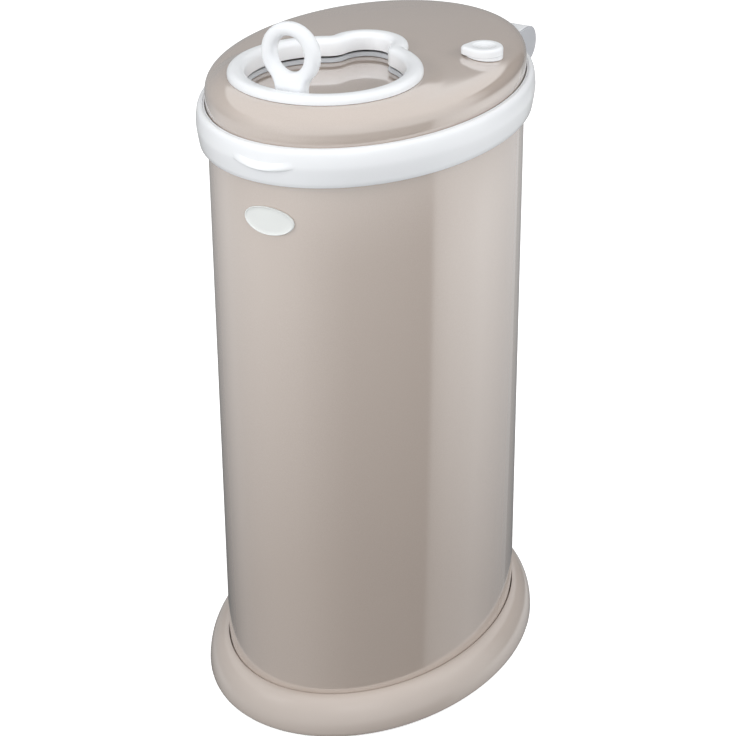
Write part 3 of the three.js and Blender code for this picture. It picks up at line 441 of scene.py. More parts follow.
def keyhole_ring(name, profile):
    """A ring round the keyhole. A level is a height, or a function of the place on the lid."""
    loops = []
    for offset, level in profile:
        outline = keyhole(offset)
        loops.append([(x, y, level(x, y) if callable(level) else level) for x, y in outline])
    return solid(name, loops)


def turned(name, profile, x=0.0, y=0.0, sides=48):
    """An upright round piece, from pairs of radius and height."""
    loops = [[(x + r * math.cos(a), y + r * math.sin(a), z) for a in circle(sides)] for r, z in profile]
    return solid(name, loops, ends=True)


def block(name, low, high):
    (x0, y0, z0), (x1, y1, z1) = low, high
    ring = [(x0, y0), (x1, y0), (x1, y1), (x0, y1)]
    return solid(name, [[(x, y, z) for x, y in ring] for z in (z0, z1)], ends=True)


# Nodes of the materials
def put(tree, kind, settings=None, inputs=None):
    """Adds one shader node with its settings, and sets or links its inputs."""
    made = tree.nodes.new(kind)
    for name, value in (settings or {}).items():
        setattr(made, name, value)
    for key, value in (inputs or {}).items():
        if isinstance(value, bpy.types.NodeSocket):
            tree.links.new(value, made.inputs[key])
        else:
            made.inputs[key].default_value = value
    return made


def linear(text):
    """A colour from its sRGB hex text."""
    parts = [int(text[i:i + 2], 16) / 255 for i in (0, 2, 4)]
    return (*[p / 12.92 if p <= 0.04045 else ((p + 0.055) / 1.055) ** 2.4 for p in parts], 1.0)


def every(size):
    """The scale of a pattern whose features are a size in millimetres apart."""
    return 1 / (size * MM)


def blank(name):
    material = bpy.data.materials.new(name)
    material.use_nodes = True
    material.node_tree.nodes.clear()
    return material, material.node_tree


def champagne_lacquer():
    """Steel with a stove-baked pearl lacquer.

    Coated mica flakes glow white under a clear, slightly wavy gloss.
    """
    material, tree = blank("champagne_pearl_lacquered_steel")
    place = put(tree, "ShaderNodeTexCoord").outputs["Object"]
    # Pearl flakes are about 0.05 mm, drawn 0.7 mm apart so that they show as a faint shimmer
    flake = put(tree, "ShaderNodeTexNoise", inputs={
        "Vector": place, "Scale": every(0.7), "Detail": 2.0, "Roughness": 0.6})
    # The spray pass leaves broad drifts of tone
    drift = put(tree, "ShaderNodeTexNoise", inputs={"Vector": place, "Scale": every(90), "Detail": 2.0})
    tone = put(tree, "ShaderNodeMapRange", inputs={
        "Value": flake.outputs["Fac"], "From Min": NOISE_LOW, "From Max": NOISE_HIGH})
    colour = put(tree, "ShaderNodeMix", {"data_type": "RGBA"}, {
        "Factor": tone.outputs["Result"], 6: linear("b8aaa0"), 7: linear("c2b4aa")})
    drifted = put(tree, "ShaderNodeMix", {"data_type": "RGBA"}, {
        "Factor": drift.outputs["Fac"], 6: colour.outputs[2], 7: linear("beb0a5")})
    glow = put(tree, "ShaderNodeMapRange", inputs={
        "Value": flake.outputs["Fac"], "From Min": NOISE_LOW, "From Max": NOISE_HIGH,
        "To Min": 0.1, "To Max": 0.15})
    # Orange peel of the lacquer, waves 3 mm apart
    peel = put(tree, "ShaderNodeTexNoise", inputs={"Vector": place, "Scale": every(3), "Detail": 1.0})
    bump = put(tree, "ShaderNodeBump", inputs={
        "Strength": 0.2, "Distance": 0.006 * MM, "Height": peel.outputs["Fac"]})
    # The oxide on the mica has an index near 2.3, so the flakes mirror white light and not the lacquer's tint
    shader = put(tree, "ShaderNodeBsdfPrincipled", inputs={
        "Base Color": drifted.outputs[2], "Roughness": glow.outputs["Result"], "IOR": 2.3,
        "Coat Weight": 1.0, "Coat Roughness": 0.02, "Coat IOR": 2.0,
        "Normal": bump.outputs["Normal"], "Coat Normal": bump.outputs["Normal"]})
    put(tree, "ShaderNodeOutputMaterial", inputs={"Surface": shader.outputs["BSDF"]})
    return material


def moulded(name, pale, deep, roughness, texture, depth, clear=0.0):
    """An injection-moulded plastic, bare or clear-coated.

    The melt's flow leaves faint tone, and the tool a fine texture of the size and depth given in millimetres.
    """
    material, tree = blank(name)
    place = put(tree, "ShaderNodeTexCoord").outputs["Object"]
    flow = put(tree, "ShaderNodeTexNoise", inputs={
        "Vector": place, "Scale": every(45), "Detail": 3.0, "Distortion": 0.6})
    colour = put(tree, "ShaderNodeMix", {"data_type": "RGBA"}, {
        "Factor": flow.outputs["Fac"], 6: linear(pale), 7: linear(deep)})
    grain = put(tree, "ShaderNodeTexNoise", inputs={"Vector": place, "Scale": every(texture), "Detail": 2.0})
    handled = put(tree, "ShaderNodeMapRange", inputs={
        "Value": flow.outputs["Fac"], "From Min": NOISE_LOW, "From Max": NOISE_HIGH,
        "To Min": roughness * 0.9, "To Max": roughness * 1.15})
    bump = put(tree, "ShaderNodeBump", inputs={
        "Strength": 0.3, "Distance": depth * MM, "Height": grain.outputs["Fac"]})
    shader = put(tree, "ShaderNodeBsdfPrincipled", inputs={
        "Base Color": colour.outputs[2], "Roughness": handled.outputs["Result"], "IOR": 1.53,
        "Coat Weight": clear, "Coat Roughness": 0.05, "Coat IOR": 1.8,
        "Normal": bump.outputs["Normal"], "Coat Normal": bump.outputs["Normal"]})
    put(tree, "ShaderNodeOutputMaterial", inputs={"Surface": shader.outputs["BSDF"]})
    return material


def rubber(name, pale, deep):
    """Moulded rubber: matt, with a dusty bloom and a fine pebbled skin."""
    material, tree = blank(name)
    place = put(tree, "ShaderNodeTexCoord").outputs["Object"]
    bloom = put(tree, "ShaderNodeTexNoise", inputs={"Vector": place, "Scale": every(12), "Detail": 5.0})
    colour = put(tree, "ShaderNodeMix", {"data_type": "RGBA"}, {
        "Factor": bloom.outputs["Fac"], 6: linear(pale), 7: linear(deep)})
    pebble = put(tree, "ShaderNodeTexVoronoi", inputs={"Vector": place, "Scale": every(0.8)})
    bump = put(tree, "ShaderNodeBump", inputs={
        "Strength": 0.4, "Distance": 0.04 * MM, "Height": pebble.outputs["Distance"]})
    shader = put(tree, "ShaderNodeBsdfPrincipled", inputs={
        "Base Color": colour.outputs[2], "Roughness": 0.75, "IOR": 1.52, "Sheen Weight": 0.15,
        "Sheen Roughness": 0.5, "Normal": bump.outputs["Normal"]})
    put(tree, "ShaderNodeOutputMaterial", inputs={"Surface": shader.outputs["BSDF"]})
    return material


def zinc_plated_steel():
    """Zinc-plated screw steel: a cool satin metal with cloudy passivation."""
    material, tree = blank("zinc_plated_steel")
    place = put(tree, "ShaderNodeTexCoord").outputs["Object"]
    cloud = put(tree, "ShaderNodeTexNoise", inputs={"Vector": place, "Scale": every(2.5), "Detail": 4.0})
    colour = put(tree, "ShaderNodeMix", {"data_type": "RGBA"}, {
        "Factor": cloud.outputs["Fac"], 6: linear("c9ccd2"), 7: linear("b3b4ad")})
    gloss = put(tree, "ShaderNodeMapRange", inputs={
        "Value": cloud.outputs["Fac"], "From Min": NOISE_LOW, "From Max": NOISE_HIGH,
        "To Min": 0.25, "To Max": 0.42})
    shader = put(tree, "ShaderNodeBsdfPrincipled", inputs={
        "Base Color": colour.outputs[2], "Metallic": 1.0, "Roughness": gloss.outputs["Result"]})
    put(tree, "ShaderNodeOutputMaterial", inputs={"Surface": shader.outputs["BSDF"]})
    return material


champagne = champagne_lacquer(), "champagne"
taupe = moulded("taupe_clear_coated_abs", "bdb2aa", "b9aea6", 0.2, 1.2, 0.004, 0.55), "base"
white = moulded("cool_white_gloss_abs", "f0f2f5", "eceff2", 0.16, 1.6, 0.004), "white"
grey = moulded("light_grey_satin_abs", "bdbfc4", "b8babf", 0.36, 0.8, 0.012), "grey"
off_white = moulded("off_white_matt_polypropylene", "e9e9e6", "e2e2de", 0.48, 0.6, 0.02), "inner"
enamel = moulded("off_white_badge_enamel", "e8ebea", "e5e8e6", 0.2, 1.5, 0.003), "badge"
seal_rubber = rubber("grey_seal_rubber", "c2c5c8", "b8bbbf"), "rubber"
foot_rubber = rubber("dark_foot_rubber", "3c3c3e", "333335"), "foot"
steel = zinc_plated_steel(), "steel"


# Body, base and feet
def body_shell():
    """Rolled oval sheet with its weld seam at the rear."""
    seam = math.pi / 2
    marks = [(seam, SEAM_DEPTH)]
    for side in (-1, 1):
        marks += [(seam + side * SEAM_STEP_TURN, SEAM_STEP_DEPTH), (seam + side * SEAM_TURN, 0.0)]
    plain = [(a, 0.0) for a in circle(SIDES) if abs(a - seam) > SEAM_CLEAR_TURN]
    stations = sorted(marks + plain)
    profile = eased([
        (0, SHELL_BOTTOM), (0, SHELL_TOP), (-SHELL_THICKNESS, SHELL_TOP),
        (-SHELL_THICKNESS, SHELL_BOTTOM)], SHELL_EDGE)
    loops = [[(*oval_point(d - dip, a), z) for a, dip in stations] for d, z in profile]
    settle(solid("body_sheet", loops), champagne, "bin", "body_shell")


def base_skirt():
    """Flared skirt with a fine upper lip, a turned-in lower rim and the ledge that the sheet stands on."""
    reach, rise = BASE_FLARE - BASE_LIP, BASE_TOP - BASE_WIDEST

    def curve(thickness):
        points = []
        for i in range(BASE_STEPS + 1):
            angle = (1 - i / BASE_STEPS) * math.pi / 2
            across, up = (reach - thickness) * math.cos(angle), (rise - thickness) * math.sin(angle)
            points.append((BASE_LIP + across, BASE_WIDEST + up))
        return points

    profile = [
        (GAP, BASE_TOP - 0.35), (GAP + 0.2, BASE_TOP - 0.05), *curve(0.0),
        (BASE_FLARE - 0.3, BASE_BOTTOM + 0.8), (BASE_FLARE - 1.0, BASE_BOTTOM),
        (BASE_FLARE - 3.0, BASE_BOTTOM), (BASE_FLARE - 3.2, BASE_BOTTOM + 0.5),
        *curve(BASE_WALL)[::-1][:BASE_INNER_STEPS], (BASE_STEP, BASE_STEP_TOP), (BASE_STEP, LEDGE_BOTTOM),
        (LEDGE_INNER + LEDGE_EDGE, LEDGE_BOTTOM), (LEDGE_INNER, LEDGE_BOTTOM + LEDGE_EDGE),
        (LEDGE_INNER, LEDGE_TOP - LEDGE_EDGE), (LEDGE_INNER + LEDGE_EDGE, LEDGE_TOP), (GAP, LEDGE_TOP)]
    settle(oval_ring("base_skirt_moulding", profile), taupe, "bin", "base_skirt")


def foot_pads():
    """Rubber pads, each with a stud whose barb snaps through the base's ledge."""
    profile = [
        (0.2, 0.0), (PAD_RADIUS - 1.6, 0.0), (PAD_RADIUS - 0.9, 0.35), (PAD_RADIUS - 0.5, 1.0),
        (PAD_RADIUS, PAD_TOP - 0.4), (PAD_RADIUS - 0.2, PAD_TOP), (STUD_RADIUS, PAD_TOP),
        (STUD_RADIUS, BARB_BOTTOM), (BARB_RADIUS, BARB_BOTTOM), (BARB_RADIUS, BARB_BOTTOM + 0.4),
        (STUD_RADIUS + 0.2, STUD_TOP), (0.2, STUD_TOP)]
    for i in range(4):
        node = f"foot_pad_{i + 1}"
        foot = turned(f"rubber_foot_{i + 1}", profile, middle(node, X), middle(node, Y))
        settle(foot, foot_rubber, "bin", node)


def top_rim_and_ring():
    """Rim that caps the sheet and rises to the gasket, and the ring that holds the bag on the rim's ledge."""
    profile = eased([
        (-GAP, RIM_SEAT), (-GAP, RIM_FLANGE_TOP), (RIM_UPSTAND_OUTER, RIM_FLANGE_TOP),
        (RIM_UPSTAND_OUTER, RIM_UPSTAND_TOP), (RIM_UPSTAND_INNER, RIM_UPSTAND_TOP),
        (RIM_UPSTAND_INNER, RIM_LEDGE_TOP), (RIM_LEDGE_INNER, RIM_LEDGE_TOP),
        (RIM_LEDGE_INNER, RIM_LEDGE_BOTTOM), (RIM_SKIRT_INNER, RIM_LEDGE_BOTTOM),
        (RIM_SKIRT_INNER, RIM_SKIRT_BOTTOM), (RIM_SEAT_INNER, RIM_SKIRT_BOTTOM),
        (RIM_SEAT_INNER, RIM_SEAT)], RIM_EDGE)
    settle(oval_ring("rim_moulding", profile), white, "bin", "top_rim")
    profile = eased([
        (RING_OUTER, RING_SEAT), (RING_OUTER, RING_SEAT + RING_THICKNESS), (RING_FOLD, RING_CROWN),
        (RING_FOLD - RING_THICKNESS, RING_SEAT + RING_THICKNESS),
        (RING_SKIRT - RING_THICKNESS, RING_BOTTOM), (RING_SKIRT, RING_BOTTOM), (RING_FOLD, RING_SEAT)],
        RING_EDGE)
    settle(oval_ring("bag_ring_moulding", profile), white, "bin", "bag_ring")


def rear_bracket():
    """Bracket that carries the middle knuckle, with its moulded edges eased."""
    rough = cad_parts["hinge_bracket"]
    bracket = placed("hinge_bracket_moulding", rough.data.copy())
    whole = bmesh.new()
    whole.from_mesh(bracket.data)
    bmesh.ops.remove_doubles(whole, verts=whole.verts, dist=1e-6)
    bmesh.ops.dissolve_limit(whole, angle_limit=1 * DEGREE, verts=whole.verts, edges=whole.edges)
    whole.to_mesh(bracket.data)
    whole.free()
    settle(worked(bracket, bevel=0.5), white, "bin", "hinge_bracket", sharp=30)


def badge():
    """Bare oval badge with a fine raised rim, curved to the body's front."""
    def level(share, offset):
        loop = []
        for angle in circle(BADGE_SIDES):
            x = BADGE_HALF_WIDTH * share * math.cos(angle)
            z = BADGE_Z + BADGE_HALF_HEIGHT * share * math.sin(angle)
            loop.append((x, -oval_reach(offset, x), z))
        return loop

    front = GAP + BADGE_THICKNESS
    profile = [
        (0.02, GAP), (0.5, GAP), (0.97, GAP), (1.0, GAP + 0.2), (1.0, front - 0.25), (0.992, front),
        (0.978, front + 0.15), (0.962, front + 0.2), (0.946, front + 0.15), (0.932, front - 0.05),
        (0.924, front - 0.28), (0.91, front - 0.36), (0.7, front - 0.34), (0.4, front - 0.32),
        (0.02, front - 0.31)]
    settle(solid("front_badge_plate", [level(*p) for p in profile], ends=True), enamel, "bin", "front_badge")


# Lid
def band_profile():
    """Pairs of reach past the oval and height: bellied face, grooved lip, and flange under the cap's hem."""
    face = [(reach, BAND_BOTTOM + rise) for reach, rise in (
        (5.3, 0.3), (5.5, 0.0), (6.1, 0.0), (6.4, 0.4), (6.9, 3.5), (7.45, 7.0), (7.9, 10.5), (8.2, 13.0),
        (BAND_REACH, 14.6), (8.25, 16.4), (8.0, 19.5), (7.6, 22.6), (7.2, 24.6), (6.6, 26.1), (5.7, 27.2),
        (4.6, 27.85))]
    lip = [
        (3.6, BAND_TOP), (3.0, BAND_TOP), (2.8, BAND_TOP - 0.7), (2.5, BAND_TOP - 0.7), (2.3, BAND_TOP + 0.1),
        (1.7, BAND_TOP + 0.1), (1.45, BAND_TOP - 0.1), (1.4, BAND_TOP - 0.6), (1.4, BAND_FLANGE_TOP)]
    flange = [
        (BAND_FLANGE_INNER + 0.2, BAND_FLANGE_TOP), (BAND_FLANGE_INNER, BAND_FLANGE_TOP - 0.3),
        (BAND_FLANGE_INNER, BAND_FLANGE_BOTTOM + 0.3), (BAND_FLANGE_INNER + 0.3, BAND_FLANGE_BOTTOM),
        (BAND_INSIDE, BAND_FLANGE_BOTTOM), (BAND_INSIDE, BAND_BOTTOM + 14.0), (5.2, BAND_BOTTOM + 0.8)]
    return face + lip + flange


def finger_tab():
    """Crescent lip on the band's front that a finger lifts the lid by."""
    loops = []
    profile = [
        (TAB_BOTTOM + 0.2, -2.2), (TAB_BOTTOM, -0.6), (TAB_BOTTOM + 0.25, 0.2), (TAB_BOTTOM + 0.9, 0.6),
        (TAB_BOTTOM + 1.8, 0.45), (TAB_BOTTOM + 3.4, -0.05), (TAB_BOTTOM + 5.6, -0.75), (TAB_TOP, -1.9)]
    for z, edge in profile:
        fade = 1 - max(0.0, (z - TAB_BOTTOM - 2) / (TAB_TOP - TAB_BOTTOM - 2)) ** TAB_FADE
        front, back = [], []
        for i in range(2 * TAB_STEPS + 1):
            share = i / TAB_STEPS - 1
            x = share * TAB_HALF_WIDTH
            inward = math.cos(share * math.pi / 2)
            swell = TAB_REACH * max(0.0, inward) ** TAB_FULLNESS * fade
            rise = TAB_END_RISE * (1 - inward)
            front.append((x, -oval_reach(BAND_FRONT + edge * inward + swell, x), z + rise))
            back.insert(0, (x, -oval_reach(TAB_ROOT, x), z + rise))
        loops.append(front + back)
    return solid("finger_tab", loops, ends=True)


def housing_outline(radius, front, round_steps=40):
    """D-shaped side view of the hinge housing, as pairs of depth and height."""
    outline = [(front, HINGE_Z - radius)]
    for i in range(round_steps + 1):
        angle = -math.pi / 2 + math.pi * i / round_steps
        outline.append((HINGE_Y + radius * math.cos(angle), HINGE_Z + radius * math.sin(angle)))
    outline.append((front, HINGE_Z + radius))
    return outline


def hinge_housing(side):
    outline = housing_outline(HOUSING_RADIUS, HOUSING_ROOT_Y)
    loops = []
    for cut, x in rounded_levels(HOUSING_INNER, HOUSING_OUTER, 0.5, 3):
        loops.append([(side * x, y, z) for y, z in inset(outline, cut)])
    inside = oval_ring("inside", [(HOUSING_FRONT, CUT_BOTTOM), (HOUSING_FRONT, CUT_TOP)], ends=True)
    return worked(solid("housing", loops, ends=True), [inside])


def lid_band():
    """Band with its finger tab and the two hinge housings, open between them for the bracket's knuckle."""
    ring = oval_ring("lid_band_moulding", band_profile())
    worked(ring, [finger_tab(), hinge_housing(-1), hinge_housing(1)], "UNION")
    gap = block(
        "gap", (-HOUSING_INNER, HINGE_GAP_FRONT, CUT_BOTTOM),
        (HOUSING_INNER, HINGE_GAP_REAR, BAND_FLANGE_BOTTOM))
    room = KNUCKLE_RADIUS + KNUCKLE_ROOM
    round_gap = solid("round_gap", [
        [(x, HINGE_Y + room * math.cos(a), HINGE_Z + room * math.sin(a)) for a in circle(KNUCKLE_SIDES)]
        for x in (-HOUSING_INNER, HOUSING_INNER)], ends=True)
    worked(ring, [gap, round_gap])
    settle(ring, white, "lid", "lid_band", sharp=34)


def hinge_ends():
    front = oval_reach(BAND_REACH, COVER_INNER) + GAP
    for side, name in ((-1, "left"), (1, "right")):
        outline = eased(housing_outline(HOUSING_RADIUS, front, 24), 0.8, 2)
        loops = []
        for cut, x in rounded_levels(COVER_INNER, COVER_OUTER, 0.7, 4):
            loops.append([(side * x, y, z) for y, z in inset(outline, cut)])
        cover = solid(f"hinge_cover_{name}", loops, ends=True)
        settle(cover, grey, "lid", f"hinge_end_{name}")


def from_keyhole(offset, turn, steps):
    """Loops over the lid from the keyhole's edge out to the oval where its shoulder starts."""
    edge = keyhole(offset)
    ends = []
    for x, y in edge:
        dx, dy = x, y - MOUTH_Y
        a, b = HALF_WIDTH + turn, HALF_LENGTH + turn
        square = (dx / a) ** 2 + (dy / b) ** 2
        half = MOUTH_Y * dy / b**2
        reach = (-half + math.sqrt(half**2 - square * ((MOUTH_Y / b) ** 2 - 1))) / square
        ends.append((dx * reach, MOUTH_Y + dy * reach))
    loops = []
    for i in range(steps + 1):
        share = (i / steps) ** 1.5
        loops.append([
            (p[0] + (q[0] - p[0]) * share, p[1] + (q[1] - p[1]) * share) for p, q in zip(edge, ends)])
    return loops, [math.atan2(y / b, x / a) for x, y in ends]


def lid_cap():
    """Pressed steel sheet: crowned top, soft shoulder, short wall and a hem turned in under the edge."""
    turn = CAP_WALL - SHOULDER_WIDTH
    flat, angles = from_keyhole(BEZEL_WALL - BEAD_HALF_WIDTH + GAP, turn, CROWN_STEPS)

    def surface(depth, steps):
        loops = [[(x, y, crown(x, y) - depth) for x, y in loop] for loop in flat]
        wall = CAP_WALL - depth
        for i in range(1, steps + 1):
            lean = i / steps * math.pi / 2
            across = math.sin(lean) ** (2 / SHOULDER_POWER)
            up = max(0.0, math.cos(lean)) ** (2 / SHOULDER_POWER)
            loop = []
            for a in angles:
                x, y = oval_point(turn + (wall - turn) * across, a)
                loop.append((x, y, CAP_WALL_TOP + (crown(x, y) - depth - CAP_WALL_TOP) * up))
            loops.append(loop)
        return loops

    def level(offset, z):
        return [(*oval_point(offset, a), z) for a in angles]

    inner = CAP_WALL - CAP_THICKNESS
    loops = surface(0.0, CROWN_STEPS) + [
        level(CAP_WALL, CAP_SEAT + 0.6), level(CAP_WALL - 0.2, CAP_SEAT + 0.15),
        level(CAP_WALL - 0.7, CAP_SEAT), level(inner - CAP_HEM, CAP_SEAT),
        level(inner - CAP_HEM, CAP_SEAT + CAP_THICKNESS), level(inner, CAP_SEAT + CAP_THICKNESS)]
    loops += surface(CAP_THICKNESS, UNDERSIDE_STEPS)[::-1]
    hole = turned("lock_hole", [(LOCK_HOLE, CUT_BOTTOM), (LOCK_HOLE, CUT_TOP)], LOCK_X, LOCK_Y)
    settle(worked(solid("lid_cap_sheet", loops), [hole]), champagne, "lid", "lid_cap")


def bezel_and_seal():
    """Glossy raised bezel with a broad, nearly square bead, and the grey seal that shows under its wall."""
    def seat(rise):
        return lambda x, y: lid_top(x, y) + GAP + rise

    profile = []
    for i in range(BEAD_STEPS + 1):
        angle = i / BEAD_STEPS * math.pi
        across = math.copysign(abs(math.cos(angle)) ** BEAD_POWER, math.cos(angle))
        profile.append((BEAD_HALF_WIDTH * across, seat(BEAD_HEIGHT * math.sin(angle) ** BEAD_POWER)))
    inner = -BEAD_HALF_WIDTH
    profile += [
        (inner, BEZEL_BOTTOM + 0.5), (inner + 0.15, BEZEL_BOTTOM + 0.12), (inner + 0.5, BEZEL_BOTTOM),
        (inner + BEZEL_WALL, BEZEL_BOTTOM), (inner + BEZEL_WALL, seat(0.0)), (1.0, seat(0.0))]
    settle(keyhole_ring("keyhole_bezel_moulding", profile), white, "lid", "keyhole_bezel")
    # A foot bead wipes the door, under the seal's upright web
    web = SEAL_OUTER - SEAL_WEB
    profile = eased([
        (SEAL_INNER, SEAL_BOTTOM), (SEAL_OUTER, SEAL_BOTTOM), (SEAL_OUTER, SEAL_TOP), (web, SEAL_TOP),
        (web - 0.3, SEAL_BOTTOM + SEAL_FOOT), (SEAL_INNER, SEAL_BOTTOM + SEAL_FOOT - 0.4)], 0.4)
    settle(keyhole_ring("opening_seal_lip", profile), seal_rubber, "lid", "opening_seal")


def lid_liner():
    """Liner under the cap: a hat with the door's tray on top, open at the keyhole."""
    flat, angles = from_keyhole(-BEAD_HALF_WIDTH, LINER_HAT, EDGE_STEPS)

    def level(offset, z):
        return [(*oval_point(offset, a), z) for a in angles]

    wall = LINER_HAT - LINER_WALL
    top = [[(x, y, TRAY_TOP) for x, y in loop] for loop in flat[:-1]]
    under = [[(x, y, TRAY_BOTTOM) for x, y in loop] for loop in flat[:-1]]
    outer = [
        level(LINER_HAT - 1.0, TRAY_TOP), level(LINER_HAT - 0.3, TRAY_TOP - 0.3),
        level(LINER_HAT, TRAY_TOP - 1.0), level(LINER_HAT, LINER_FLANGE_TOP),
        level(LINER_REACH - 0.2, LINER_FLANGE_TOP), level(LINER_REACH, LINER_FLANGE_TOP - 0.3),
        level(LINER_REACH, LINER_FLANGE_BOTTOM + 0.3), level(LINER_REACH - 0.3, LINER_FLANGE_BOTTOM)]
    inner = [
        level(wall + 1.0, LINER_FLANGE_BOTTOM), level(wall + 0.3, LINER_FLANGE_BOTTOM + 0.3),
        level(wall, LINER_FLANGE_BOTTOM + 1.0), level(wall, TRAY_BOTTOM - 2.6),
        level(wall - 0.5, TRAY_BOTTOM - 0.7), level(wall - 1.8, TRAY_BOTTOM)]
    liner = solid("lid_liner_moulding", top + outer + inner + under[::-1])
    reach = oval_reach(LINER_HAT, RAIL_OUTER) - RAIL_END_ROOM
    section = eased([
        (RAIL_INNER, RAIL_FOOT), (RAIL_OUTER, RAIL_FOOT), (RAIL_OUTER, RAIL_TOP), (RAIL_LIP, RAIL_TOP),
        (RAIL_LIP, RAIL_LIP_BOTTOM), (RAIL_INNER, RAIL_LIP_BOTTOM)], 0.3, 2)
    # Right rail is open where the lock's lever swings over it
    runs = [(-1, -reach, reach), (1, -reach, LEVER_FRONT), (1, LEVER_REAR, reach)]
    rails = []
    for side, start, end in runs:
        rails.append(solid("rail", [[(side * x, y, z) for x, z in section] for y in (start, end)], ends=True))
    settle(worked(liner, rails, "UNION"), off_white, "lid", "lid_liner")


def lid_gasket():
    profile = eased([
        (GASKET_OUTER, GASKET_TOP), (GASKET_OUTER, GASKET_BOTTOM), (GASKET_INNER, GASKET_BOTTOM),
        (GASKET_INNER, GASKET_TOP)], 1.0, 5)
    settle(oval_ring("lid_gasket_cord", profile), seal_rubber, "lid", "lid_gasket")


# Door handle and lock
def door_handle():
    """Loop handle with a fully rounded section, on a neck that spreads slightly at the door."""
    from_centre = NECK_HALF_WIDTH + NECK_FILLET
    drop = math.sqrt((LOOP_RADIUS + NECK_FILLET) ** 2 - from_centre**2)
    turn = math.atan2(drop, from_centre)
    fillet_z = LOOP_Z - drop
    outer = []

    def arc(x, z, radius, start, end, count):
        for i in range(count):
            a = start + (end - start) * i / count
            outer.append((x + radius * math.cos(a), z + radius * math.sin(a)))

    arc(from_centre, fillet_z, NECK_FILLET, math.pi, math.pi - turn, 16)
    arc(0.0, LOOP_Z, LOOP_RADIUS, -turn, math.pi + turn, 96)
    arc(-from_centre, fillet_z, NECK_FILLET, turn, 0.0, 16)
    # Rounded foot lies below the door and is cut off there
    low = DOOR_TOP - NECK_FOOT_DROP - HANDLE_ROUND
    for i in range(EDGE_STEPS):
        outer.append((-NECK_HALF_WIDTH, fillet_z + (low - fillet_z) * i / EDGE_STEPS))
    arc(0.0, low, NECK_HALF_WIDTH, math.pi, 2 * math.pi, 24)
    for i in range(EDGE_STEPS):
        outer.append((NECK_HALF_WIDTH, low + (fillet_z - low) * i / EDGE_STEPS))
    hole = []
    for x, z in outer:
        a = math.atan2((z - LOOP_Z) / HOLE_HALF_HEIGHT, x / HOLE_HALF_WIDTH)
        hole.append((HOLE_HALF_WIDTH * math.cos(a), LOOP_Z + HOLE_HALF_HEIGHT * math.sin(a)))
    half = HANDLE_HALF_THICKNESS
    loops = []
    for cut, y in rounded_levels(-half, half, HANDLE_ROUND, 10):
        loops.append([(x, HANDLE_Y + y, z) for x, z in inset(outer, cut)])
    for cut, y in rounded_levels(-half, half, HANDLE_ROUND, 10)[::-1]:
        loops.append([(x, HANDLE_Y + y, z) for x, z in inset(hole, -cut)])
    handle = solid("loop_handle", loops)
    whole = bmesh.new()
    whole.from_mesh(handle.data)
    everything = whole.verts[:] + whole.edges[:] + whole.faces[:]
    bottom = Vector((0.0, 0.0, (DOOR_TOP + GAP) * MM))
    bmesh.ops.bisect_plane(whole, geom=everything, plane_co=bottom, plane_no=(0, 0, 1), clear_inner=True)
    open_edges = [e for e in whole.edges if e.is_boundary]
    bmesh.ops.holes_fill(whole, edges=open_edges, sides=0)
    whole.to_mesh(handle.data)
    whole.free()
    settle(handle, white, "door", "door_handle")


def knob_outline(offset):
    """Teardrop of the lock's knob about its middle, with the nose along +X."""
    lean = math.acos((KNOB_RADIUS - NOSE_RADIUS) / NOSE_REACH)
    radius, nose = KNOB_RADIUS + offset, NOSE_RADIUS + offset
    outline = []
    for a in circle(KNOB_SIDES):
        turn = abs((a + math.pi) % (2 * math.pi) - math.pi)
        if turn >= lean:
            reach = radius
        else:
            # The flank is the common tangent of the two circles, and the nose closes it
            flank = radius / math.cos(lean - turn)
            sine = NOSE_REACH * math.sin(turn)
            tip = NOSE_REACH * math.cos(turn) + math.sqrt(nose**2 - sine**2) if nose > sine else 0.0
            end = math.atan2(nose * math.sin(lean), NOSE_REACH + nose * math.cos(lean))
            reach = tip if turn < end else flank
        outline.append((reach * math.cos(a), reach * math.sin(a)))
    return outline


def lock_knob():
    """Turning knob of the child lock: a teardrop with a shallow dished face on a short stem."""
    seat = knob_seat()
    top = seat + KNOB_HEIGHT

    def ring(radius, z):
        return [(radius * math.cos(a), radius * math.sin(a), z) for a in circle(KNOB_SIDES)]

    loops = [ring(0.1, STEM_BOTTOM), ring(STEM_RADIUS, STEM_BOTTOM), ring(STEM_RADIUS, seat)]
    upper_edge = rounded_levels(seat, top, KNOB_EDGE, EDGE_STEPS)[EDGE_STEPS + 1:]
    for cut, z in [(0.15, seat), (0.0, seat + 0.15), *upper_edge]:
        loops.append([(x, y, z) for x, y in knob_outline(-cut)])
    # Face: a flat rim, then rings that step down into the dish, as pairs of radius and drop
    steps = [
        (DISH_RADIUS + 0.6, 0.0), (DISH_RADIUS + 0.1, 0.06), (DISH_RADIUS - 0.5, 0.4),
        (DISH_RADIUS - 1.0, 0.52), (6.6, 0.6), (6.2, 0.72), (5.8, 0.9), (5.3, 0.98), (3.4, 1.03),
        (3.0, 1.12), (2.6, 1.26), (2.1, 1.32), (0.1, 1.35)]
    loops += [ring(radius, top - drop) for radius, drop in steps]
    c, s = math.cos(NOSE_ANGLE * DEGREE), math.sin(NOSE_ANGLE * DEGREE)
    loops = [[(LOCK_X + x * c - y * s, LOCK_Y + x * s + y * c, z) for x, y, z in loop] for loop in loops]
    settle(solid("lock_knob_moulding", loops, ends=True), white, "lock", "lock_knob")


def knob_seat():
    """Height of the knob's underside, clear of the bush's flange."""
    return crown(LOCK_X - BUSH_RADIUS, LOCK_Y) + 2 * GAP + CAP_THICKNESS / 2


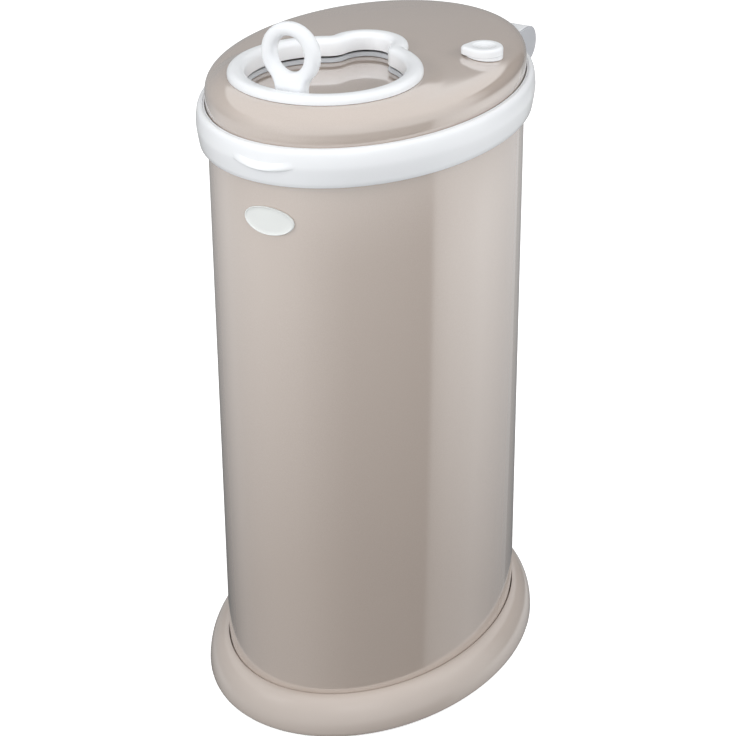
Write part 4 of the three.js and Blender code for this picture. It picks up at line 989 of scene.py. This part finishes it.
def lock_bush():
    """Fixed bush under the knob. Its flange follows the lid and lies flush with the knob's side."""
    top = knob_seat() - 0.15
    rim = KNOB_RADIUS - 0.05
    under = CAP_WALL_TOP + 10.0
    loops = []
    for radius, level in (
            (STEM_BORE, BUSH_BOTTOM), (SLEEVE_RADIUS, BUSH_BOTTOM), (SLEEVE_RADIUS, under),
            (SLEEVE_RADIUS, None), (rim - 0.4, None), (rim, None), (rim, top - 0.1), (rim - 0.1, top),
            (STEM_BORE, top)):
        loop = []
        for angle in circle(KNOB_SIDES):
            x, y = LOCK_X + radius * math.cos(angle), LOCK_Y + radius * math.sin(angle)
            edge = GAP + 0.25 if radius == rim else GAP
            loop.append((x, y, lid_top(x, y) + edge if level is None else level))
        loops.append(loop)
    settle(solid("lock_bush_moulding", loops), white, "lid", "lock_bush")


# Screws
def screw_head(radius, height):
    """Pan head with a cross recess, its underside at the origin, pointing down."""
    neck, crest, edge = radius * 0.5, radius * 0.72, height * 0.35
    profile = [(neck, 0.6), (neck, 0.0), (radius, 0.0), (radius, -edge)]
    for i in range(1, EDGE_STEPS + 1):
        lean = i / EDGE_STEPS * math.pi / 2
        profile.append((
            crest + (radius - crest) * math.cos(lean), -edge - (height - edge) * math.sin(lean)))
    profile.append((0.05, -height))
    head = turned("screw_head", profile, sides=40)
    long, short = radius * 0.58, 0.28
    blades = [
        block("blade", (-wide, -deep, -height * 1.2), (wide, deep, -edge))
        for wide, deep in ((long, short), (short, long))]
    worked(head, blades)
    head.data.transform(Matrix.Translation((0, -FORWARD * MM, 0)))
    return head


def screws():
    """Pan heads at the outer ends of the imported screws, which point down, or to the rear on the bracket."""
    head = screw_head(SCREW_RADIUS, SCREW_HEIGHT)
    mesh = head.data
    bpy.data.objects.remove(head)
    kinds = [("liner_screw", 6, "lid"), ("bracket_screw", 2, "bin"), ("handle_screw", 2, "door")]
    for kind, count, body in kinds:
        for i in range(count):
            name = f"{kind}_{i + 1}"
            place = [middle(name, axis) for axis in (X, Y, Z)]
            if body == "bin":
                place[Y] = span(name, Y)[1] - SCREW_HEIGHT
                turn = Matrix.Rotation(90 * DEGREE, 4, "X")
            else:
                place[Z] = span(name, Z)[0] + SCREW_HEIGHT
                turn = Matrix.Identity(4)
            place[Y] += FORWARD
            screw = placed(f"{name}_head", mesh)
            screw.matrix_world = Matrix.Translation(Vector(place) * MM) @ turn
            settle(screw, steel, body, name)


body_shell()
base_skirt()
foot_pads()
top_rim_and_ring()
rear_bracket()
badge()
lid_band()
hinge_ends()
lid_cap()
bezel_and_seal()
lid_liner()
lid_gasket()
door_handle()
lock_knob()
lock_bush()
screws()

# CAD pieces whose shape is right, with their finishes
KEPT = {
    "floor_pan": off_white, "door_plate": champagne, "lock_nut": steel,
    "lock_lever": off_white, "lock_screw": steel, "hinge_pin": steel,
    **{f"glide_shoe_{i + 1}": off_white for i in range(4)},
}
for name, (material, _) in KEPT.items():
    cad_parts[name].material_slots[0].material = material

# Studio floor, room light and lamps
FLOOR_REACH = 9
floor_mesh = bpy.data.meshes.new("studio_floor")
corners = [(x * FLOOR_REACH, y * FLOOR_REACH, 0) for x, y in ((-1, -1), (1, -1), (1, 1), (-1, 1))]
floor_mesh.from_pydata(corners, [], [(0, 1, 2, 3)])
floor = placed("studio_floor", floor_mesh)
floor_look, tree = blank("white_studio_floor")
lit = put(tree, "ShaderNodeBsdfDiffuse", inputs={"Color": linear("f4f4f4")})
# The floor throws less light up at the bin than its white would, so the bin darkens towards its foot
bounce = put(tree, "ShaderNodeBsdfDiffuse", inputs={"Color": linear("8c8c8c")})
glow = put(tree, "ShaderNodeEmission", inputs={"Color": (1, 1, 1, 1), "Strength": 0.62})
both = put(tree, "ShaderNodeAddShader", inputs={0: lit.outputs[0], 1: glow.outputs[0]})
path = put(tree, "ShaderNodeLightPath")
seen = put(tree, "ShaderNodeMixShader", inputs={
    0: path.outputs["Is Camera Ray"], 1: bounce.outputs[0], 2: both.outputs[0]})
put(tree, "ShaderNodeOutputMaterial", inputs={"Surface": seen.outputs[0]})
floor_mesh.materials.append(floor_look)
# Gloss on the bin shows the room's soft boxes all the way down, not the floor
floor.visible_glossy = False

world = bpy.data.worlds.new("studio_room")
bpy.context.scene.world = world
world.use_nodes = True
tree = world.node_tree
tree.nodes.clear()
way = put(tree, "ShaderNodeTexCoord").outputs["Generated"]
parts = put(tree, "ShaderNodeSeparateXYZ", inputs={0: way})
ahead = put(tree, "ShaderNodeMath", {"operation": "MULTIPLY"}, {0: parts.outputs["Y"], 1: -1.0})
turn = put(tree, "ShaderNodeMath", {"operation": "ARCTAN2"}, {0: parts.outputs["X"], 1: ahead.outputs[0]})
share = put(tree, "ShaderNodeMapRange", inputs={
    "Value": turn.outputs[0], "From Min": -math.pi, "From Max": math.pi})
# Soft boxes and grey cards stand round the bin: degrees from its front, and how bright each is
LOWER_ROOM = [
    (-178, 0.5), (-150, 0.25), (-122, 0.42), (-91, 0.8), (-46, 0.84), (-3, 0.73), (46, 0.41), (104, 0.29),
    (108, 0.74), (118, 0.9), (140, 1.02), (161, 0.78), (174, 0.7)]
UPPER_ROOM = [
    (-178, 0.26), (-150, 0.36), (-120, 0.42), (-90, 0.5), (-45, 0.85), (0, 1.0), (60, 0.95), (85, 0.9),
    (110, 0.9), (126, 0.8), (142, 0.2), (174, 0.15)]


def ring_of_light(stops):
    """The room's brightness all the way round, from its stops."""
    ramp = put(tree, "ShaderNodeValToRGB", inputs={0: share.outputs["Result"]})
    marks = ramp.color_ramp.elements
    while len(marks) < len(stops):
        marks.new(0.5)
    for mark, (degrees, bright) in zip(marks, stops):
        mark.position = (degrees + 180) / 360
        mark.color = (bright / 2, bright / 2, bright / 2, 1)
    return put(tree, "ShaderNodeVectorMath", {"operation": "SCALE"}, {0: ramp.outputs[0], "Scale": 2.0})


above = put(tree, "ShaderNodeMapRange", {"interpolation_type": "SMOOTHSTEP"}, {
    "Value": parts.outputs["Z"], "From Min": -0.33, "From Max": -0.2})
# The boxes fade towards the floor
fading = put(tree, "ShaderNodeMapRange", inputs={
    "Value": parts.outputs["Z"], "From Min": -0.58, "From Max": -0.34, "To Min": 0.42, "To Max": 1.0})
faded = put(tree, "ShaderNodeVectorMath", {"operation": "SCALE"}, {
    0: ring_of_light(LOWER_ROOM).outputs[0], "Scale": fading.outputs["Result"]})
walls = put(tree, "ShaderNodeMix", {"data_type": "RGBA"}, {
    "Factor": above.outputs["Result"], 6: faded.outputs[0],
    7: ring_of_light(UPPER_ROOM).outputs[0]})
# A broad bright ceiling hangs over the bin and shows in the lid's shoulder
ceiling = put(tree, "ShaderNodeMapRange", {"interpolation_type": "SMOOTHSTEP"}, {
    "Value": parts.outputs["Z"], "From Min": 0.405, "From Max": 0.46})
domed = put(tree, "ShaderNodeMix", {"data_type": "RGBA"}, {
    "Factor": ceiling.outputs["Result"], 6: walls.outputs[2], 7: (0.95, 0.95, 0.95, 1)})
path = put(tree, "ShaderNodeLightPath")
inner = put(tree, "ShaderNodeMix", {"data_type": "RGBA"}, {
    "Factor": path.outputs["Is Glossy Ray"], 6: (0.5, 0.5, 0.5, 1), 7: domed.outputs[2]})
clear = put(tree, "ShaderNodeMath", {"operation": "MAXIMUM"}, {
    0: path.outputs["Is Camera Ray"], 1: path.outputs["Is Transmission Ray"]})
outer = put(tree, "ShaderNodeMix", {"data_type": "RGBA"}, {
    "Factor": clear.outputs[0], 6: inner.outputs[2], 7: (1, 1, 1, 1)})
back = put(tree, "ShaderNodeBackground", inputs={"Color": outer.outputs[2], "Strength": 1.0})
put(tree, "ShaderNodeOutputWorld", inputs={"Surface": back.outputs[0]})


# Height in metres that the lamps face
LAMP_AIM = 0.3


def soft_box(name, azimuth, elevation, distance, size, power):
    """A square soft box that faces the bin. Azimuth runs from the bin's front towards its right side."""
    light = bpy.data.lights.new(name, "AREA")
    light.shape = "SQUARE"
    light.size = size
    light.energy = power
    lamp = placed(name, light)
    a, e = azimuth * DEGREE, elevation * DEGREE
    away = Vector((math.sin(a) * math.cos(e), -math.cos(a) * math.cos(e), math.sin(e)))
    lamp.location = Vector((0, 0, LAMP_AIM)) + away * distance
    lamp.rotation_euler = away.to_track_quat("Z", "Y").to_euler()
    # Gloss shows the room's own boxes and cards, not this lamp's square
    lamp.visible_glossy = False


soft_box("top_soft_box", 10, 78, 1.9, 1.4, 5)
soft_box("left_soft_box", -30, 25, 2.0, 1.0, 17.5)
soft_box("front_soft_box", 45, 20, 2.0, 1.0, 12.5)
soft_box("right_soft_box", 116, 28, 2.0, 1.0, 13.5)

# Camera at the photograph's angle
AZIMUTH, ELEVATION, ROLL = 28.56 * DEGREE, 26.80 * DEGREE, -0.45 * DEGREE
DISTANCE = 1.6985
aim = Vector((0, -0.00395, 0.250))
away = Vector((
    math.sin(AZIMUTH) * math.cos(ELEVATION), -math.cos(AZIMUTH) * math.cos(ELEVATION), math.sin(ELEVATION)))
lens = bpy.data.cameras.new("camera")
lens.sensor_width = 36
lens.lens = 103.06
lens.shift_x = -0.0046
lens.shift_y = -0.003
lens.clip_end = 50
camera = placed("camera", lens)
facing = away.to_track_quat("Z", "Y").to_matrix()
camera.matrix_world = Matrix.Translation(aim + away * DISTANCE) @ (
    facing @ Matrix.Rotation(ROLL, 3, "Z")).to_4x4()
bpy.context.scene.camera = camera
bpy.context.scene.view_settings.view_transform = "Standard"
